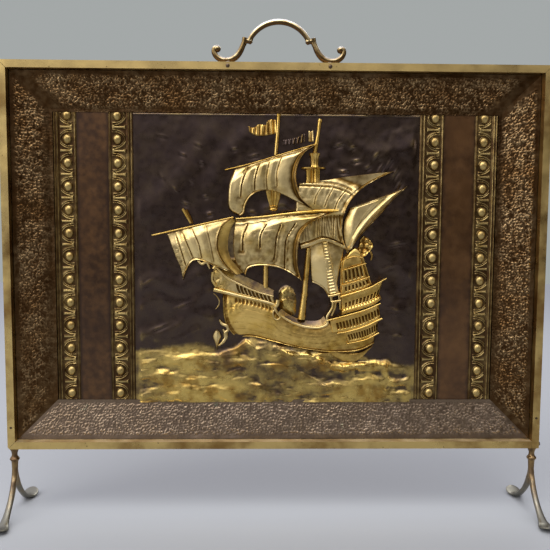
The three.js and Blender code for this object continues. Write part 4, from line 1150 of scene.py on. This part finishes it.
# The tiers of the stern, from the top down. windows is where the row starts and ends across the tier, how
# many there are, where they start and end down the tier, their depth, and their width as a share.
STERN_BANDS = {
    "stern_castle": dict(
        top=[(80, -2), (88, 8), (97, 15), (104, 12), (108, 5)],
        bottom=[(79, -46), (90, -42), (104, -36), (118, -28)],
        high=2.4, tilt=1.5, tone=0.35, rim="tr", rows=60, cols=90,
    ),
    "castle_dome": dict(
        top=[(87, 4), (92, 11), (97, 14.5), (102, 12), (106, 4)], bottom=[(86, 0), (95, 3.4), (107, 2)],
        high=5.0, tilt=1.0, tone=0.0, bulge=1.4, rows=30, cols=50,
    ),
    "castle_head": dict(
        top=[(83, 0), (95, 4), (108, 2.5)], bottom=[(81, -14), (90, -10), (104, -6), (110, -5)],
        high=5.4, tilt=0.8, tone=0.25, bulge=0.3, rows=30, cols=90,
    ),
    "castle_windows_high": dict(
        top=[(81, -13), (90, -10), (104, -6), (110, -5)],
        bottom=[(82, -31), (92, -28.5), (106, -24), (114, -21)],
        high=6.6, tilt=0.8, windows=(0.08, 0.86, 5, 0.1, 0.86, 3.0, 0.46), tone=0.15, rows=50, cols=150,
    ),
    "castle_windows_low": dict(
        top=[(81, -31), (92, -28.5), (106, -24), (114.5, -21)],
        bottom=[(80, -45), (92, -41.4), (106, -37), (119, -31)],
        high=7.0, tilt=1.4, windows=(0.1, 0.95, 7, 0.25, 0.75, 2.8, 0.46), tone=0.18, rows=40, cols=150,
    ),
    "gallery": dict(
        top=[(80.5, -46.5), (99, -40.6), (118, -33.6), (128, -28), (134, -24)],
        bottom=[(81, -63), (100, -57), (116, -52), (127, -45)],
        high=9.4, tilt=1.6, windows=(0.07, 0.97, 10, 0.5, 0.9, 3.0, 0.55), tone=0.15, bulge=-0.9, rows=50,
    ),
    "gallery_foot": dict(
        top=[(80.5, -61), (100, -55), (116, -50), (128.5, -43)],
        bottom=[(81, -69), (104, -62), (120, -56.5), (131.5, -48.5)],
        high=10.4, tilt=0.4, windows=(0.0, 1.0, 14, 0.0, 0.4, 1.2, 0.36), tone=0.0, bulge=2.2, rim="b",
        rows=34,
    ),
    "upper_wale": dict(
        top=[(66, -75.5), (90, -68.5), (112, -61.5), (127.5, -54)],
        bottom=[(70, -91), (88, -89), (110, -82.5), (130.5, -72.5)],
        high=10.6, tilt=0.8, windows=(0.1, 0.985, 14, 0.28, 0.8, 3.0, 0.56), tone=0.08, bulge=0.6, rows=50,
    ),
    "lower_wale": dict(
        top=[(84, -90), (98, -86.5), (112, -82), (127.5, -74.5)],
        bottom=[(90, -104), (100, -102), (112, -99), (127, -90.5)],
        high=10.2, tilt=0.5, windows=(0.06, 0.99, 12, 0.26, 0.8, 3.0, 0.56), tone=0.1, bulge=0.4, rows=44,
    ),
}
# Rails along the tiers: path, radii, height of the axis above the sheet and rings.
STERN_RAILS = [
    ([(79.5, -46), (99.4, -40), (118.3, -33.2), (128, -27.4), (136, -22.8)], [1.5, 1.2, 1.0, 0.6], 11.2, 60),
    ([(63, -75.6), (90, -68.4), (112, -61.6), (129, -54)], [0.9, 1.0, 0.8], 11.6, 60),
    ([(76, -91.4), (88, -89.4), (110, -82.8), (131.5, -72.6)], [0.6, 1.0, 1.2], 12, 60),
    ([(88, -104.6), (100, -102.4), (112, -99.2), (128, -90.8)], [0.6, 0.8, 0.9], 11.2, 60),
]
CASTLE_RAILS = [
    ([(80.5, -32), (92, -29.2), (106, -24.6), (115.5, -21)], [0.7, 0.7, 0.6], 8.0, 60),
    ([(106, 6), (110.5, -8), (117.5, -30)], [0.7, 0.8, 0.8], 7.0, 60),
    ([(82, -13.5), (92, -10.4), (104, -6.6), (111, -4.6)], [0.6, 0.6, 0.6], 7.8, 60),
    ([(85, 0), (95, 3.6), (107, 2.4)], [0.6, 0.7, 0.6], 7.0, 60),
]


def stern_band(name, material, top, bottom, high, tilt, tone, windows=None, bulge=0.0, rim="", rows=40,
               cols=260):
    """One tier of the stern, standing high out at its top edge and tilt further out at its foot."""
    p = Patch(top=top, bottom=bottom, rows=rows, cols=cols)
    height = high + tilt * p.v + bulge * np.sin(math.pi * p.v) + 0.2 * p.cloth(int(high * 10))
    height -= 2.6 * smooth(1 - p.from_right / 5)
    dark = np.zeros(p.x.shape) + (tone + 0.2 * octaves(p.x, p.z, 9, 166))
    if windows:
        start, end, count, high_share, low_share, depth, wide = windows
        hole = slots((p.u - start) / (end - start), count, wide)
        hole = hole * smooth((p.v - high_share) * 12) * smooth((low_share - p.v) * 12)
        height = height - depth * hole
        dark = dark + 0.6 * hole
    if rim:
        height += hem(p, 0.7, 0.6, rim)
    pressed(name, p, height, material, hollows(height) + dark, sharp=60)


def make_stern(material):
    for name, band in STERN_BANDS.items():
        stern_band(name, material, **band)
    bars_piece("stern_rails", STERN_RAILS, material, 0.0)
    bars_piece("castle_rails", CASTLE_RAILS, material, 0.35)
    under = Patch(
        top=[(62, -114), (84, -117), (104, -117), (122, -108)],
        bottom=[(80, -127), (88, -130), (98, -130.5), (108, -124)], rows=30, cols=60,
    )
    height = 4.2 + 1.4 * under.u - 2.8 * under.v ** 2 + 0.3 * under.cloth(161)
    pressed("rudder", under, height, material, 0.35 + 0.3 * lump(under.v, 0.25))
    lantern = Patch(
        top=[(103, 24), (108, 29.5), (115, 25.5)], bottom=[(104, 6), (107, 3), (110, 4)],
        left=[(103, 24), (102, 14), (104, 6)], right=[(115, 25.5), (121, 16.5), (116, 9), (110, 4)],
        rows=60, cols=40,
    )
    first, _ = cells(lantern.x, lantern.z, 6.4, 165)
    height = 1.6 + 2.6 * smooth(1.2 - 1.5 * first) + 1.6 * lump(lantern.from_right - 1.5, 1.4)
    tone = hollows(height) + 0.55 - 0.5 * lump(lantern.from_right - 1.5, 1.6)
    pressed("stern_lantern", lantern, height, material, tone)
    drop = rod_on_sheet([(117, 10), (119, 5), (118, -1)], [1.4, 1.5, 0.8], 1.2, 20, 12)
    seated_piece("lantern_drop", [drop], material, 0.5)


# Small bars of the rigging: path, radii, height of the axis above the sheet, rings and sides.
CHAIN_PLATE = [
    ([(64.5, -45.6), (72, -44.4), (79.5, -42.2)], [1.4, 1.5, 1.4], 7.6, 20),
    ([(68, -52.6), (74, -52), (80.5, -50.8)], [1.6, 1.8, 1.6], 8.2, 20),
    ([(68, -46), (69, -52)], [1.6, 1.8], 6.6, 10),
    ([(78, -44), (79, -51)], [1.6, 1.8], 6.6, 10),
    ([(73.5, -52), (73, -60), (69, -70)], [2.0, 1.5, 1.2], 7.0, 30),
    ([(79, -50), (79.6, -62)], [1.4, 1.2], 8.0, 20),
]
ROPES = [
    (
        [(-90, 3), (-86, -1), (-82, 1), (-78, -5), (-74, -6), (-77, -12)],
        [1.8, 2.6, 2.0, 2.8, 2.2, 2.6], 9, 60, 12,
    ),
    ([(-97, -2), (-92, -6), (-86, -4), (-82, -12)], [1.2, 2.0, 1.8, 1.2], 6.5, 40, 12),
    ([(-78, -16), (-79, -26), (-74, -34)], [2.2, 1.4, 2.0], 7.5, 40, 12),
    (
        [(-1, -60), (-4, -66), (-2, -73), (3, -74), (5, -69), (2, -66)],
        [1.0, 1.1, 1.0, 1.1, 1.0, 0.8], 12, 50, 10,
    ),
    ([(-3, -58), (0, -64), (4, -70)], [1.2, 1.6, 1.0], 12, 30, 10),
    ([(2, -50), (1, -56), (-2, -60)], [2.4, 2.8, 1.6], 10.5, 30, 12),
]
BEAK_SCROLL = [
    (
        [(-78, -43), (-73.5, -47), (-70.8, -53), (-72, -59), (-75.5, -63)],
        [0.5, 0.8, 0.9, 0.7, 0.4], 1.0, 50, 10,
    ),
]
ANCHOR_CURL = [
    (
        [(-70.5, -76), (-67, -81), (-61, -84), (-60, -89), (-63, -92), (-64, -98)],
        [0.9, 1.8, 2.2, 1.6, 2.4, 1.0], 3.6, 60, 12,
    ),
    ([(-66, -88), (-62, -96), (-66, -104), (-72, -109)], [1.2, 2.4, 2.2, 0.8], 2.8, 50, 12),
]


def make_rigging(material):
    ladder = Patch(
        top=[(56.5, 22), (63, 22)], bottom=[(66, -45), (78, -42)],
        left=[(56.5, 22), (61, -12), (66, -45)], right=[(63, 22), (71, -12), (78, -42)], rows=260, cols=40,
    )
    rungs = lump(((ladder.v * 17) % 1) - 0.5, 0.2)
    height = 6.2 + 0.65 * rungs * smooth(ladder.from_left / 1.5) * smooth((0.8 - ladder.u) * 7)
    height += 0.9 * smooth((ladder.u - 0.8) * 9) + 0.6 * lump(ladder.from_left - 0.8, 0.7)
    pressed("ratlines", ladder, height, material, hollows(height, 8, 0.7) + 0.1, 0.8)
    bars_piece("chain_plate", CHAIN_PLATE, material, 0.15)
    bars_piece("ropes", ROPES, material, 0.12)
    bars_piece("beak_scroll", BEAK_SCROLL, material, 0.35)
    leaf = Patch(
        top=[(-77, -91), (-73.5, -89), (-70, -91)], bottom=[(-74, -113), (-73.4, -113.6), (-72.8, -113)],
        left=[(-77, -91), (-79.5, -97), (-77, -104), (-74, -113)],
        right=[(-70, -91), (-67.6, -97), (-70.5, -104), (-72.8, -113)],
        rows=50, cols=30,
    )
    height = 1.5 + 3.6 * np.sin(math.pi * leaf.u) ** 0.8 + 0.5 * lump(leaf.u - 0.5, 0.06)
    pressed("anchor_leaf", leaf, height, material, hollows(height) + 0.1)
    bars_piece("anchor_curl", ANCHOR_CURL, material, 0.2)


# ---------------- pilasters
EGG_PITCH = 28.6
FIRST_EGG = 145.5  # height of the highest whole egg above the middle of the panel
FIELD_TO_EGG = 11.2  # from the strip's plain-band edge to the line of eggs
STRIP_TUCK = 3.0  # how far an outer strip runs in under the border
STRIP_CELL = 0.45  # width of one grid cell across a strip
STRIP_ROWS = 760
STRIP_DARK = 0.92  # patina of the strip's hollows
# The two ridges of the cup round each egg: across towards the beads, and along from the egg.
CUP_OUTER = [(-5.6, 11.4), (0, 10.9), (5.2, 8.4), (9.2, 4.4), (12.2, -1.5)]
CUP_INNER = [(-5.6, 8.7), (-0.6, 8.5), (4.4, 6.6), (7.6, 3.2), (9.0, -1.0)]


def egg_and_dart(across, z, width):
    """Height and patina of the strip; across is measured from its plain-band edge."""
    along = (z - FIRST_EGG + EGG_PITCH / 2) % EGG_PITCH - EGG_PITCH / 2  # from the nearest egg
    side = across - FIELD_TO_EGG  # positive towards the beads
    beads = np.zeros(across.shape)
    for place, high, wide in ((2.0, 1.5, 0.8), (width - 2.0, 1.3, 0.8), (width - 5.4, 1.7, 0.8)):
        beads += high * lump(across - place, wide)
    height = beads + 0.6 * smooth((across - (width - 8.0)) / 0.8)
    field = smooth((across - 4.2) / 0.8) * smooth((width - 8.6 - across) / 0.8)
    mirrored = np.abs(along)
    tall = np.where(along < 0, 6.4, 5.8)
    egg = 1 - (side / 5.5) ** 2 - (mirrored / tall) ** np.where(along < 0, 1.7, 2.0)
    egg_high = 4.6 * np.sqrt(np.clip(egg, 0, None))
    cup = 1.5 * lump(distance_to(side, mirrored, CUP_OUTER, 24), 0.9)
    cup = np.maximum(cup, 1.3 * lump(distance_to(side, mirrored, CUP_INNER, 24), 0.75))
    bar = EGG_PITCH / 2 - mirrored
    flare = 1.4 + 1.7 * lump(side - 10.4, 1.5) + 1.0 * lump(side + 5.0, 1.4)
    dart = 1.8 * smooth((flare - bar) / 0.8 + 0.4) * smooth((side + 6.4) / 0.8) * smooth((12.0 - side) / 0.8)
    height = np.maximum(np.maximum(height, egg_high), np.maximum(cup, dart) * field)
    tone = np.full(across.shape, STRIP_DARK)
    # Each raised part, the height from which it is worn, and the patina that is left there.
    worn = ((beads, 0.7, 0.42), (cup * field, 0.5, 0.4), (dart * field, 0.6, 0.12), (egg_high, 0.6, 0.0))
    for part, low, light in worn:
        tone = np.minimum(tone, STRIP_DARK - (STRIP_DARK - light) * smooth((part - low) / 0.7))
    return height, tone


def make_pilasters(material):
    for number, node in enumerate(("inner_left", "outer_left", "inner_right", "outer_right")):
        name = "egg_and_dart_" + node
        low, high = box_mm(name)
        width = high[0] - low[0]
        x, z = np.meshgrid(
            np.linspace(low[0], high[0], int(width / STRIP_CELL)), np.linspace(high[2], low[2], STRIP_ROWS),
        )
        z = z - MIDDLE
        band_on_left = node in ("inner_left", "outer_right")
        across = x - low[0] if band_on_left else high[0] - x
        visible_width = width - (STRIP_TUCK if node.startswith("outer") else 0.0)
        height, tone = egg_and_dart(across, z, visible_width)
        height = height + 0.12 * octaves(x, z, 9, 171 + number)
        height = np.where(across > visible_width - 0.4, 0.0, height)
        height = height * smooth((PANEL_REACH - 3.2 - np.abs(z)) / 0.6)
        tone = np.clip(tone + 0.12 * noise(x, z, 18, 175 + number), 0, 1)
        relief(name + "_strip", x, z, height, material, tone, "moulding_brass", SHEET_BACK, [name], 60)


def make_plain_bands(material):
    for side, tone in (("left", 0.62), ("right", 0.15)):
        name = "plain_band_" + side
        low, high = box_mm(name)
        x, z = np.meshgrid(np.linspace(low[0], high[0], 60), np.linspace(high[2], low[2], 240))
        z = z - MIDDLE
        edge = np.minimum(x - low[0], high[0] - x)
        height = (0.35 * octaves(x, z, 60, 181) + 0.05 * octaves(x, z, 9, 185)) * smooth(edge / 6)
        dark = np.clip(tone + 0.3 * octaves(x, z, 40, 188) + 0.4 * lump(edge, 2.5), 0, 1)
        relief(name + "_sheet", x, z, height, material, dark, "plain_brass", SHEET_BACK, [name], 60)


# ---------------- hammered border
BORDER_LIP = 4.0  # flat edge against the panel
BORDER_LIP_RISE = 1.1  # how far the lip's front stands before the sheet
BORDER_SHEET = 0.8  # thickness of the sheet
BORDER_CELL = 0.74  # length of one grid cell along a side
BORDER_ROWS = 78
# How far the hammering fades out from the mitres and from the panel's side, how deep it is, and how worn.
# The wear of the ridges is also set per side as painted light: dimmest on the left, brightest on the right.
BORDER_FADES = {
    "top": (26, 7, 0.9, 0.7),
    "right": (12, 9, 1.0, 0.85),
    "bottom": (5, 4, 0.7, 0.6),
    "left": (7, 18, 0.75, 0.55),
}
# The direction along each side, clockwise as seen from the front, and the direction towards the panel.
BORDER_WAYS = {
    "top": ((1, 0), (0, -1)),
    "right": ((0, -1), (-1, 0)),
    "bottom": ((-1, 0), (0, 1)),
    "left": ((0, 1), (1, 0)),
}


def border_height(along, inward, length, width, seed, fade, margin, depth, worn):
    """Hammered relief of one side: along from its middle, inward from its outer edge."""
    warp = 1.5 * noise(along, inward, 4.5, seed)
    first, second = cells(along + warp, inward - warp, 3.6, seed + 1)
    ridge = smooth(1 - (second - first) * 2.7)
    broken = smooth(0.7 + 1.6 * noise(along, inward, 2.2, seed + 2))
    worms = ridge * broken
    pits = worms - 0.4 * smooth(1 - first * 1.9)
    mitre = length / 2 - inward - np.abs(along)
    worked = smooth((mitre + 3 * noise(along, inward, 14, seed + 3) - 0.4 * fade) / (0.8 * fade))
    worked = worked * smooth((inward - 3) / 4) * (0.25 + 0.75 * smooth((width - 3 - inward) / margin))
    folds = 0.8 * octaves(along, inward, 26, seed + 5)
    folds = folds * smooth(inward / 6) * smooth((width - 4 - inward) / 6)
    return depth * pits * worked + folds, worn * smooth(1.4 * worms * worked)


def border_faces(rows, cols):
    """A strip with rows of points in front and three rows behind, closed along its edges and mitres."""
    base = rows * cols
    faces = grid_faces(rows, cols) + [[i + base for i in face] for face in grid_faces(3, cols, flip=True)]
    for k in range(cols - 1):
        faces.append([k, k + 1, base + k + 1, base + k])
        low, low_back = (rows - 1) * cols + k, base + 2 * cols + k
        faces.append([low + 1, low, low_back, low_back + 1])
    first = [base + 2 * cols, base + cols, base]
    last = [base + cols - 1, base + 2 * cols - 1, base + 3 * cols - 1]
    faces.append([row * cols for row in range(rows)] + first)
    faces.append([row * cols + cols - 1 for row in range(rows - 1, -1, -1)] + last)
    return faces


def make_border(material, dusty_lit_material):
    outer_low, outer_high = box_mm("hammered_border_top")
    half_x, half_z = outer_high[0], box_mm("hammered_border_right")[1][2] - MIDDLE
    width = outer_high[2] - outer_low[2]
    front = outer_low[1]
    slope = (SHEET_FRONT - BORDER_LIP_RISE - front) / (width - BORDER_LIP)
    for number, (side, (along_way, inward_way)) in enumerate(BORDER_WAYS.items()):
        half, out = (half_x, half_z) if side in ("top", "bottom") else (half_z, half_x)
        cols = int(half * 2 / BORDER_CELL)

        def placed(share, inward, shift):
            """Points at a share of the half length from the middle, shifted back from the sloping front."""
            along = share * (half - inward)
            x = along * along_way[0] + (inward - out) * inward_way[0]
            z = along * along_way[1] + (inward - out) * inward_way[1]
            y = front + slope * np.minimum(inward, width - BORDER_LIP) + shift
            return np.stack([x, y, z + MIDDLE], axis=-1).reshape(-1, 3)

        share, inward = np.meshgrid(np.linspace(-1, 1, cols), np.linspace(0, width, BORDER_ROWS))
        along = share * (half - inward)
        bumps, ridge = border_height(along, inward, 2 * half, width, 200 + 20 * number, *BORDER_FADES[side])
        front_points = placed(share, inward, -bumps)
        share_back, inward_back = np.meshgrid(np.linspace(-1, 1, cols), [0, width - BORDER_LIP, width])
        back_points = placed(share_back, inward_back, BORDER_SHEET)
        dark = np.clip(0.88 - ridge + 0.1 * noise(along, inward, 30, 230 + number), 0, 1)
        shade = np.concatenate([dark.ravel(), np.full(len(back_points), 0.8)])
        # The bottom border takes the lighter copy: painted light, with dust.
        add_piece(
            "border_" + side, np.concatenate([front_points, back_points]), border_faces(BORDER_ROWS, cols),
            dusty_lit_material if side == "bottom" else material, "hammered_brass",
            shade, 70, BODY, ["hammered_border_" + side],
        )


# ---------------- handle
ARCH_RADIUS = 39.5
ARCH_CENTRE = 9.9  # height of the arch's centre above the rail
BALL_OUT = 73.9  # the end balls: distance from the middle, height above the rail, and radius
BALL_UP = 17.2
BALL_RADIUS = 4.3
HANDLE_SIDES = 24
BAR_RINGS = 120
# The seat under each scroll: height above the rail and radius.
SEAT = [(-6, 1.9), (0.35, 1.9), (0.4, 5.0), (1.4, 4.8), (2.4, 3.4)]
# One half of the handle: across, up and radius along the scroll.
SCROLL = [
    (40.4, 29.4, 3.0), (41.6, 26, 3.0), (43.8, 20, 3.3), (47.2, 13.4, 3.7), (52, 7.8, 3.9), (57.6, 4.7, 3.8),
    (63.6, 3.8, 3.6), (70, 5.0, 3.5), (75.2, 8.8, 3.4), (77.8, 14, 3.1), (77, 18.2, 2.8), (74.2, 19.2, 2.6),
]
# Solid collars of the handle: start, end, and radii along them.
COLLARS = [
    ((35.8, 23.4), (33.0, 31.6), [(0, 1.8), (0.12, 2.6), (0.3, 3.3), (0.4, 3.4), (0.46, 3.0), (1, 2.6)]),
    ((42.4, 22.0), (40.4, 30.4), [(0, 3.2), (0.45, 3.2), (0.7, 3.5), (0.96, 3.6), (1, 3.3)]),
    ((35.6, 26.4), (41.0, 27.0), [(0, 2.9), (1, 3.3)]),
]


def make_handle(material):
    low, high = box_mm("handle")
    pin_left = box_mm("left_handle_pin")
    pin_right = box_mm("right_handle_pin")
    centre = (low[0] + high[0]) / 2
    foot_x = (pin_right[0][0] + pin_right[1][0] - pin_left[0][0] - pin_left[1][0]) / 4
    rail_top = box_mm("top_rail")[1][2]

    def bar(stations):
        line = spline(stations, BAR_RINGS)
        at = np.stack([line[:, 0] + centre, np.zeros(BAR_RINGS), line[:, 1] + rail_top], axis=1)
        return tube(at, line[:, 2], HANDLE_SIDES, 1.06)

    arch = []
    for degrees in np.linspace(24, 156, 27):
        a = math.radians(degrees)
        thick = 2.7 + 0.68 * math.sin(a)
        arch.append((ARCH_RADIUS * math.cos(a), ARCH_CENTRE + ARCH_RADIUS * math.sin(a), thick))
    solids = [bar(arch)]
    for sign in (-1, 1):
        solids.append(bar([(sign * x, z, r) for x, z, r in SCROLL]))
        for (x0, z0), (x1, z1), profile in COLLARS:
            start = np.array([sign * x0 + centre, 0, z0 + rail_top])
            end = np.array([sign * x1 + centre, 0, z1 + rail_top])
            places = [start + share * (end - start) for share, _ in profile]
            solids.append(tube(places, [radius for _, radius in profile], HANDLE_SIDES))
        turn = np.linspace(-1.5, 1.5, 17)
        ball = [(sign * BALL_OUT + centre, 0, rail_top + BALL_UP + BALL_RADIUS * math.sin(t)) for t in turn]
        solids.append(tube(ball, [BALL_RADIUS * math.cos(t) for t in turn], HANDLE_SIDES))
        seat = [(sign * foot_x + centre, 0, rail_top + z) for z, _ in SEAT]
        solids.append(tube(seat, [radius for _, radius in SEAT], HANDLE_SIDES))
    points, faces = united(solids)
    dull = 0.6 * smooth((np.abs(points[:, 0] - centre) - 33) / 5)
    add_piece("handle_casting", points, faces, material, "handle_brass", dull, 38, BODY, ["handle"])


def united(solids):
    """One closed surface round several overlapping solids."""
    objects = []
    for points, faces in solids:
        mesh = bpy.data.meshes.new("part")
        mesh.from_pydata(np.asarray(points).tolist(), [], faces)
        objects.append(new_object("part", mesh))
    whole = objects[0]
    for other in objects[1:]:
        join = whole.modifiers.new("join", "BOOLEAN")
        join.operation = "UNION"
        join.solver = "EXACT"
        join.object = other
    bpy.context.view_layer.update()
    mesh = bpy.data.meshes.new_from_object(whole.evaluated_get(bpy.context.evaluated_depsgraph_get()))
    points = np.empty(len(mesh.vertices) * 3)
    mesh.vertices.foreach_get("co", points)
    faces = [list(face.vertices) for face in mesh.polygons]
    for obj in objects:
        bpy.data.meshes.remove(obj.data)
    bpy.data.meshes.remove(mesh)
    return points.reshape(-1, 3), faces


# ---------------- feet
# The upright stem and spigot of a foot: radius and height above the floor.
STEM_PROFILE = [
    (3.2, 44), (3.5, 52), (3.8, 62), (4.0, 66), (4.4, 68), (5.2, 69), (6.0, 70), (6.0, 71), (5.2, 72.2),
    (4.0, 73.6), (3.5, 75.8), (3.5, 77.6), (3.9, 79.4), (4.8, 81.6), (5.9, 83.4), (5.95, 85.6), (1.8, 85.7),
    (1.8, 96),
]
# One leg of a foot: distance out, height, half width and half thickness along it.
LEG_STATIONS = [
    (1, 60, 3.2, 2.4), (1.6, 54, 3.4, 2.8), (3, 48, 3.5, 3), (5.6, 41.5, 3.5, 4.4), (9.4, 34.5, 3.5, 4.1),
    (14.4, 27.6, 3.6, 3.5), (20.8, 20.6, 3.7, 2.9), (28.8, 13.6, 4, 2.7), (37, 7.6, 4.8, 2.6),
    (43, 4.4, 6, 2.5), (48, 3.0, 8, 2.3), (53, 3.2, 9.4, 2.1), (58, 4.6, 9.5, 1.8), (63, 6.4, 7.4, 1.6),
    (66.2, 7.6, 3.2, 1.2),
]
LEG_RINGS = 110
LEG_SIDES = 28
CAST_CELL = 0.5  # cell of the surface that runs the stem and the legs together


def foot_leg(axis, sign):
    """One leg of a foot: the one in front where sign is -1, and the one behind where it is 1."""
    leg = spline(LEG_STATIONS, LEG_RINGS)
    along = np.gradient(leg[:, :2], axis=0)
    along /= np.linalg.norm(along, axis=1)[:, None]
    angle = np.linspace(0, 2 * math.pi, LEG_SIDES, endpoint=False)
    lift = leg[:, 3:] * np.sin(angle)
    out = leg[:, :1] - along[:, 1:] * lift
    up = leg[:, 1:2] + along[:, :1] * lift
    wide = leg[:, 2:3] * np.cos(angle)
    points = np.stack([axis + wide, sign * out, up], axis=-1).reshape(-1, 3)
    ends = [(axis, sign * leg[0, 0], leg[0, 1]), (axis, sign * leg[-1, 0], leg[-1, 1])]
    return np.concatenate([points, ends]), tube_faces(LEG_RINGS, LEG_SIDES, flip=sign < 0)


def merge_solids(obj):
    """Runs overlapping solids together into one cast form, and evens the surface."""
    remesh = obj.modifiers.new("cast", "REMESH")
    remesh.mode = "VOXEL"
    remesh.voxel_size = CAST_CELL * MM
    remesh.use_smooth_shade = True
    even = obj.modifiers.new("even", "SMOOTH")
    even.factor = 0.5
    even.iterations = 3
    bpy.context.view_layer.update()
    graph = bpy.context.evaluated_depsgraph_get()
    made = bpy.data.meshes.new_from_object(obj.evaluated_get(graph))
    material = obj.data.materials[0]
    obj.modifiers.clear()
    obj.data = made
    made.materials.clear()
    made.materials.append(material)
    made.polygons.foreach_set("use_smooth", np.ones(len(made.polygons), bool))


def make_feet(material):
    for side in ("left", "right"):
        low, high = box_mm(side + "_foot")
        axis = (low[0] + high[0]) / 2
        stem = tube([(axis, 0, z) for _, z in STEM_PROFILE], [r for r, _ in STEM_PROFILE], sides=32)
        points, faces = joined([stem, foot_leg(axis, -1), foot_leg(axis, 1)])
        foot = add_piece(
            side + "_foot_casting", points, faces, material, "foot_brass", None, 50, side + "_foot_body",
            [side + "_foot"],
        )
        merge_solids(foot)
        mesh = foot.data
        co = np.empty(len(mesh.vertices) * 3)
        mesh.vertices.foreach_get("co", co)
        co = co.reshape(-1, 3)
        co[:, 2] = np.maximum(co[:, 2], 0.0)
        mesh.vertices.foreach_set("co", co.ravel())
        dull = smooth((0.062 - co[:, 2]) / 0.055)
        layer = mesh.attributes.new("patina", "FLOAT", "POINT")
        layer.data.foreach_set("value", dull.astype(np.float32))


# ---------------- screws and pins
HEAD_SIDES = 36
HEAD_RINGS = 10
SHANK_SIDES = 14
SHANK_LENGTH = 5.0
SHANK_SHARE = 0.42  # the shank's radius as a share of the head's


def domed_head(centre, outward, radius, high, slot_width):
    """A domed disc with a flat underside; a slot, if any, is sunk across it."""
    out = Vector(outward)
    across = out.orthogonal().normalized()
    other = out.cross(across)
    points = []
    for ring in range(HEAD_RINGS + 1):
        t = ring / HEAD_RINGS
        r = radius * math.sin(t * math.pi / 2)
        lift = high * math.cos(t * math.pi / 2)
        for k in range(HEAD_SIDES):
            a = 2 * math.pi * k / HEAD_SIDES
            a_x, a_y = r * math.cos(a), r * math.sin(a)
            sunk = 0.0
            if slot_width and abs(a_x) < slot_width:
                sunk = min(lift, 0.55 * high)
            points.append(tuple(Vector(centre) + across * a_x + other * a_y + out * (lift - sunk)))
    faces = []
    for ring in range(HEAD_RINGS):
        a, b = ring * HEAD_SIDES, (ring + 1) * HEAD_SIDES
        for k in range(HEAD_SIDES):
            n = (k + 1) % HEAD_SIDES
            if ring:
                faces.append([a + k, b + k, b + n, a + n])
            else:
                faces.append([0, b + k, b + n])
    faces.append([HEAD_RINGS * HEAD_SIDES + k for k in range(HEAD_SIDES)][::-1])
    return np.array(points), faces


def shank_along_y(centre, out, radius):
    """A shank that runs back along Y from a head."""
    angle = np.linspace(0, 2 * math.pi, SHANK_SIDES, endpoint=False)
    ring = np.stack([radius * np.cos(angle), np.zeros(SHANK_SIDES), radius * np.sin(angle)], axis=1)
    start = np.array(centre) + ring
    end = start - SHANK_LENGTH * np.array(out)
    faces = []
    for k in range(SHANK_SIDES):
        n = (k + 1) % SHANK_SIDES
        faces.append([k, n, n + SHANK_SIDES, k + SHANK_SIDES])
    faces += [list(range(SHANK_SIDES))[::-1], list(range(SHANK_SIDES, 2 * SHANK_SIDES))]
    if out[1] < 0:
        faces = [face[::-1] for face in faces]
    return np.concatenate([start, end]), faces


def fastener(name, centre, out, radius, high, slot_width, material):
    """A domed head that faces out, with a short shank behind it."""
    if out[1]:
        shank = shank_along_y(centre, out, radius * SHANK_SHARE)
    else:
        end = np.array(centre) - SHANK_LENGTH * np.array(out)
        shank = tube([centre, end], radius * SHANK_SHARE, SHANK_SIDES)
    points, faces = joined([domed_head(centre, out, radius, high, slot_width), shank])
    add_piece(name + "_head", points, faces, material, "steel", None, 35, BODY, [name])


def make_fasteners(material):
    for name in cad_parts:
        if name.startswith("board_screw") or "clamp" in name:
            low, high = box_mm(name)
            centre = ((low[0] + high[0]) / 2, high[1] - 1.9, (low[2] + high[2]) / 2)
            fastener(name, centre, (0, 1, 0), (high[0] - low[0]) / 2, 1.8, 0.55, material)
    for name in ("left_handle_pin", "right_handle_pin"):
        low, high = box_mm(name)
        centre = ((low[0] + high[0]) / 2, low[1] + 1.2, (low[2] + high[2]) / 2)
        fastener(name, centre, (0, -1, 0), (high[0] - low[0]) / 2, 1.2, 0.0, material)
    low, high = box_mm("butt_joint_screw")
    centre = (high[0] - 3.1, (low[1] + high[1]) / 2, (low[2] + high[2]) / 2)
    fastener("butt_joint_screw", centre, (1, 0, 0), (high[2] - low[2]) / 2, 3.1, 0.6, material)


# ---------------- pieces that keep their CAD shape
RAIL_BEVEL = 0.5
OTHER_BEVEL = 0.3


def dress_nodes(materials):
    finishes = {
        "top_rail": "frame", "bottom_rail": "frame", "left_stile": "frame", "right_stile": "frame",
        "backing_board": "board", "left_key_pin": "steel", "right_key_pin": "steel",
    }
    for corner in ("top_left", "top_right", "bottom_left", "bottom_right"):
        finishes["corner_key_" + corner] = "steel"
    for name, finish in finishes.items():
        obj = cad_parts[name]
        obj.data.materials.clear()
        obj.data.materials.append(materials[finish])
        rounded = obj.modifiers.new("rounded", "BEVEL")
        rounded.width = (RAIL_BEVEL if finish == "frame" else OTHER_BEVEL) * MM
        rounded.segments = 2
        rounded.limit_method = "ANGLE"
        rounded.angle_limit = math.radians(40)
        rounded.harden_normals = True


make_camera()
make_studio()
materials = make_materials()
make_ground(materials["ground"])
make_sails(materials["sail"], materials["hull"], materials["ground"])
make_masts(materials["hull"])
make_hull_body(materials["hull"])
make_forecastle(materials["sail"], materials["ground"])
make_waist(materials["sail"], materials["ground"])
make_stern(materials["hull"])
make_rigging(materials["sail"])
make_pilasters(materials["moulding"])
make_plain_bands(materials["plain"])
make_border(materials["hammered"], materials["hammered_low"])
make_handle(materials["handle"])
make_feet(materials["foot"])
make_fasteners(materials["steel"])
dress_nodes(materials)
